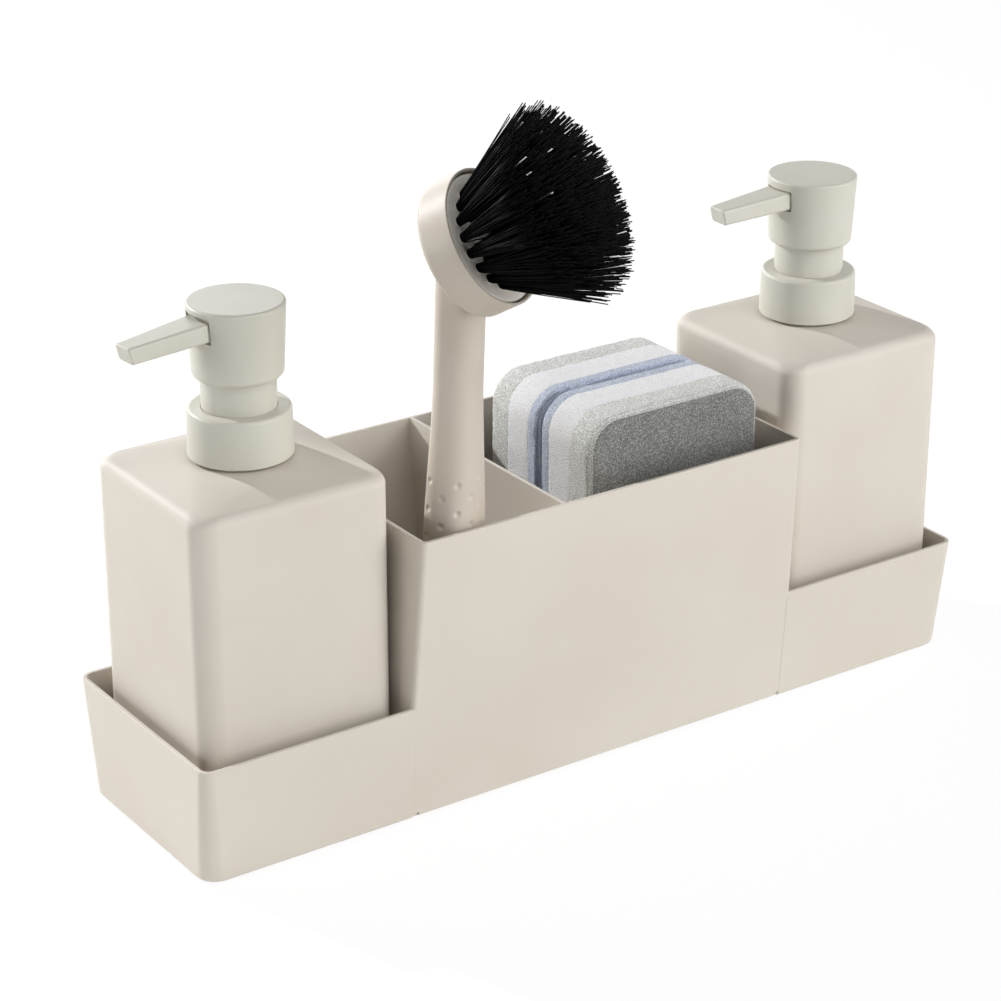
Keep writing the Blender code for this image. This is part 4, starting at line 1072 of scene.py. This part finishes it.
def tuftRims(shape, brush):
    matrix, top = headFrame(brush), brush["plateTop"]
    hole, width = shape["rootRadius"] + shape["rimGap"], shape["rimWidth"]
    rise, shoulder = shape["rimHeight"], shape["rimShoulder"]
    profile = [(hole, top - rise), (hole, top + shoulder), (hole + width * 0.3, top + rise)]
    profile += [(hole + width * 0.7, top + shoulder), (hole + width, top - shape["rimFoot"])]
    verts, faces = [], []
    for place in tuftPlaces(shape):
        ring, ringFaces = turnedMesh(profile, place, 28, True)
        faces += [tuple(at + len(verts) for at in face) for face in ringFaces]
        verts += [matrix @ point for point in ring]
    return newPiece("brushTuftRims", verts, faces, plastics["plate"], 60.0, False)


mountPiece(handlePiece(brushShape), "brush", "moulded_caddy", "brush_handle")
mountPiece(cupPiece(brushShape), "brush", "moulded_caddy")
mountPiece(platePiece(brushShape), "brush", "brush_plate", "brush_plate")
mountPiece(tuftRims(bristleShape, brushShape), "brush", "brush_plate")
blackStrands, paintedGlintStrands = bristlePiece(bristleShape, brushShape)
mountPiece(blackStrands, "brush", "black_nylon", "brush_bristles")
mountPiece(paintedGlintStrands, "brush", "black_nylon")
print("brush made")

spongeShape = {
    "cornerRadius": 0.0130,
    "edgeRounding": 0.0038,
    "creaseRounding": 0.0018,
    "glueReach": 0.00014,  # over the fine gap between the solids, short of the next layer
    "seamDraw": 0.00012,
    "seamDepth": 0.0004,
    "leastCorner": 0.0006,
    "endCore": 0.0012,  # half width of the last face in the middle of an end
    "mesh": 0.0010,
    "hiddenMesh": 0.0050,
    "grainHeight": 0.00022,
    "grainSize": 0.0020,
    "slackHeight": 0.00040,
    "slackSize": 0.030,
    "noiseTop": 0.8,  # the noise stays below this, so that the foam only draws in
    "creaseWave": 0.0034,
    "waveSize": 0.0036,
    # where the lighter band of the rounded edge begins, partly painted highlight
    "napHighlightFrom": 0.82,
    "feltFrom": 0.95,
    "cornerSteps": 10,
}


def roundedEnd(radius, steps=6):  # depth from the end face, inset from the outline, lean of the surface
    parts = [math.radians(90 * step / steps) for step in range(steps + 1)]
    ends = [(1 - math.sin(part), 1 - math.cos(part), math.sin(part)) for part in reversed(parts)]
    return [(radius * depth, radius * inset, lean) for depth, inset, lean in ends]


def foamLayer(name, solid, kind, body, near, far, shape):
    low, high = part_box(solid)
    halfX, halfZ = (high.x - low.x) / 2, (high.z - low.z) / 2
    centre = ((low.x + high.x) / 2, (low.z + high.z) / 2)
    sideSteps = round((halfX + halfZ) / 2 / shape["mesh"])
    verts, leans, directions = [], [], []

    def addRing(y, inset, lean):  # lean 1 faces out of the end, 0 faces out of the side
        radius = max(shape["cornerRadius"] - inset, shape["leastCorner"])
        corners = roundedCorners(halfX - inset, halfZ - inset, radius, shape["cornerSteps"])
        outward = roundedCorners(1.0, 1.0, 1.0, shape["cornerSteps"])
        count = shape["cornerSteps"] + 1
        for at in range(4 * count):
            after = (at + 1) % (4 * count)
            steps = sideSteps if (at + 1) % count == 0 else 1
            for step in range(steps):
                share = step / steps
                ends = zip(corners[at], corners[after])
                x, z = (first + (second - first) * share for first, second in ends)
                verts.append(Vector((centre[0] + x, y, centre[1] + z)))
                leans.append(lean)
                side = Vector((outward[at][0], 0.0, outward[at][1])) * math.sqrt(1 - lean * lean)
                directions.append(side + Vector((0.0, lean if y > (low.y + high.y) / 2 else -lean, 0.0)))

    def addEnd(y, first, mesh, outward):
        insets, inset = [], first + mesh
        while inset < min(halfX, halfZ) - shape["endCore"]:
            insets.append(inset)
            inset += mesh
        for inset in insets if outward else reversed(insets):
            addRing(y, inset, 1.0)

    meshes = [shape["mesh"] if len(end) > 2 else shape["hiddenMesh"] for end in (near, far)]
    addEnd(low.y + near[0][0], near[0][1], meshes[0], False)
    for depth, inset, lean in near:
        addRing(low.y + depth, inset, lean)
    first, last = low.y + near[-1][0], high.y - far[-1][0]
    count = max(round((last - first) / shape["mesh"]), 1)
    for step in range(1, count):
        addRing(first + (last - first) * step / count, 0.0, 0.0)
    for depth, inset, lean in reversed(far):
        addRing(high.y - depth, inset, lean)
    addEnd(high.y - far[0][0], far[0][1], meshes[1], True)
    ringCount = 4 * (shape["cornerSteps"] + sideSteps)
    for vert, lean, direction in zip(verts, leans, directions):
        grain = noise.noise(vert / shape["grainSize"]) - shape["noiseTop"]
        slack = noise.noise(vert / shape["slackSize"] + Vector((7.0, 3.0, 1.0))) - shape["noiseTop"]
        height = shape["grainHeight"] * grain + shape["slackHeight"] * slack
        if kind == "soft" and lean > 0:  # the meeting edges are torn a little uneven
            wave = noise.noise(Vector((vert.x, 0.0, vert.z)) / shape["waveSize"]) - 0.5
            height += shape["creaseWave"] * wave * min(lean * 2, 1.0)
        if lean < 0.999 or kind == "scrub":
            vert += direction * height
    faces = rowFaces(len(verts) // ringCount, ringCount)
    piece = newPiece(name, verts, faces, foams[kind], 60.0, False)
    if kind == "scrub":  # the same sheet takes two more finishes toward its felted face; the lighter band on the rounded edge is partly painted highlight
        piece.data.materials.append(foams["nap"])
        piece.data.materials.append(foams["face"])
        middle, outside = (low.y + high.y) / 2, 1 if len(far) > 2 else -1
        for face in piece.data.polygons:
            outer, lean = face.center.y * outside > middle * outside, leans[face.vertices[0]]
            if outer:
                face.material_index = (lean > shape["napHighlightFrom"]) + (lean > shape["feltFrom"])
    mountPiece(piece, body, f"{kind}_layer", solid)


glued = [(-spongeShape["glueReach"], spongeShape["seamDraw"], 0.0), (spongeShape["seamDepth"], 0.0, 0.0)]
for place in ("front", "rear"):
    for kind in ("scrub", "foam", "soft"):
        outer = roundedEnd(spongeShape["edgeRounding"]) if kind == "scrub" else glued
        inner = roundedEnd(spongeShape["creaseRounding"]) if kind == "soft" else glued
        near, far = (outer, inner) if place == "front" else (inner, outer)
        name, solid = f"{place}Sponge{kind.capitalize()}", f"{place}_sponge_{kind}_layer"
        foamLayer(name, solid, kind, f"{place}_sponge", near, far, spongeShape)
print("sponges made")

stageLook = {
    "floorColour": "#F2F1EE",
    "floorGlow": 0.90,  # seen by the camera, so that the open floor is white and the shadow stays faint
    "floorCatch": 0.14,
    "floorHalf": 4.0,
    "lampDistance": 1.8,
    "lampAim": Vector((0.0, 0.024, 0.09)),
}


def anyRay(tree):  # camera, mirror and see-through rays meet the white studio, soft light does not
    path = addNode(tree, "ShaderNodeLightPath")
    seen = path.outputs["Is Camera Ray"]
    for other in ("Is Glossy Ray", "Is Transmission Ray"):
        either = addNode(tree, "ShaderNodeMath", {0: seen, 1: path.outputs[other]}, operation="MAXIMUM")
        seen = either.outputs[0]
    return seen


def whiteFloor(look):
    material, tree, shader = newMaterial("paperFloorMatt")
    tree.nodes.remove(shader)
    paper = addNode(tree, "ShaderNodeBsdfDiffuse", {"Color": linearColour(look["floorColour"])})
    catch = addNode(tree, "ShaderNodeBsdfDiffuse", {"Color": (look["floorCatch"],) * 3 + (1.0,)})
    glow = addNode(tree, "ShaderNodeEmission", {"Color": (1.0, 1.0, 1.0, 1.0), "Strength": look["floorGlow"]})
    both = addNode(tree, "ShaderNodeAddShader", {0: catch.outputs[0], 1: glow.outputs[0]})
    mix = addNode(tree, "ShaderNodeMixShader", {0: anyRay(tree), 1: paper.outputs[0], 2: both.outputs[0]})
    tree.links.new(mix.outputs[0], tree.nodes["Material Output"].inputs["Surface"])
    return material


def floorSheet(look):
    mesh = bpy.data.meshes.new("floorSheet")
    half = look["floorHalf"]
    corners = [(-half, -half, 0), (half, -half, 0), (half, half, 0), (-half, half, 0)]
    mesh.from_pydata(corners, [], [(0, 1, 2, 3)])
    mesh.materials.append(whiteFloor(look))
    floor = bpy.data.objects.new("floorSheet", mesh)
    bpy.context.scene.collection.objects.link(floor)


def studioWorld():
    world = bpy.data.worlds.new("studio")
    bpy.context.scene.world = world
    world.use_nodes = True
    tree = world.node_tree
    tree.nodes.clear()
    dark = addNode(tree, "ShaderNodeBackground", {"Color": (1, 1, 1, 1), "Strength": 0.0})
    white = addNode(tree, "ShaderNodeBackground", {"Color": (1, 1, 1, 1), "Strength": 1.0})
    mix = addNode(tree, "ShaderNodeMixShader", {0: anyRay(tree), 1: dark.outputs[0], 2: white.outputs[0]})
    addNode(tree, "ShaderNodeOutputWorld", {"Surface": mix.outputs[0]})


lampRecipes = {
    "keyLamp": {"azimuth": -155, "elevation": 26, "size": 0.06, "power": 29.0},
    "frontFill": {"azimuth": 30, "elevation": 15, "size": 1.2, "power": 23.5},
    "topFill": {"azimuth": 5, "elevation": 52, "size": 0.9, "power": 9.0},
    "leftFill": {"azimuth": -98, "elevation": 10, "size": 0.8, "power": 10.5},
    "backLamp": {"azimuth": 165, "elevation": 14, "size": 0.8, "power": 6.5},
}


def placeLamps(recipes, look):
    for name, recipe in recipes.items():
        lamp = bpy.data.lights.new(name, "AREA")
        lamp.shape = "SQUARE"
        lamp.size = recipe["size"]
        lamp.energy = recipe["power"]
        made = bpy.data.objects.new(name, lamp)
        bpy.context.scene.collection.objects.link(made)
        angles = (recipe["azimuth"], recipe["elevation"])
        place, away = aroundPlace(*angles, look["lampDistance"], look["lampAim"])
        made.location = place
        made.rotation_mode = "QUATERNION"
        made.rotation_quaternion = (-away).to_track_quat("-Z", "Y")


floorSheet(stageLook)
studioWorld()
placeLamps(lampRecipes, stageLook)
print("stage made")
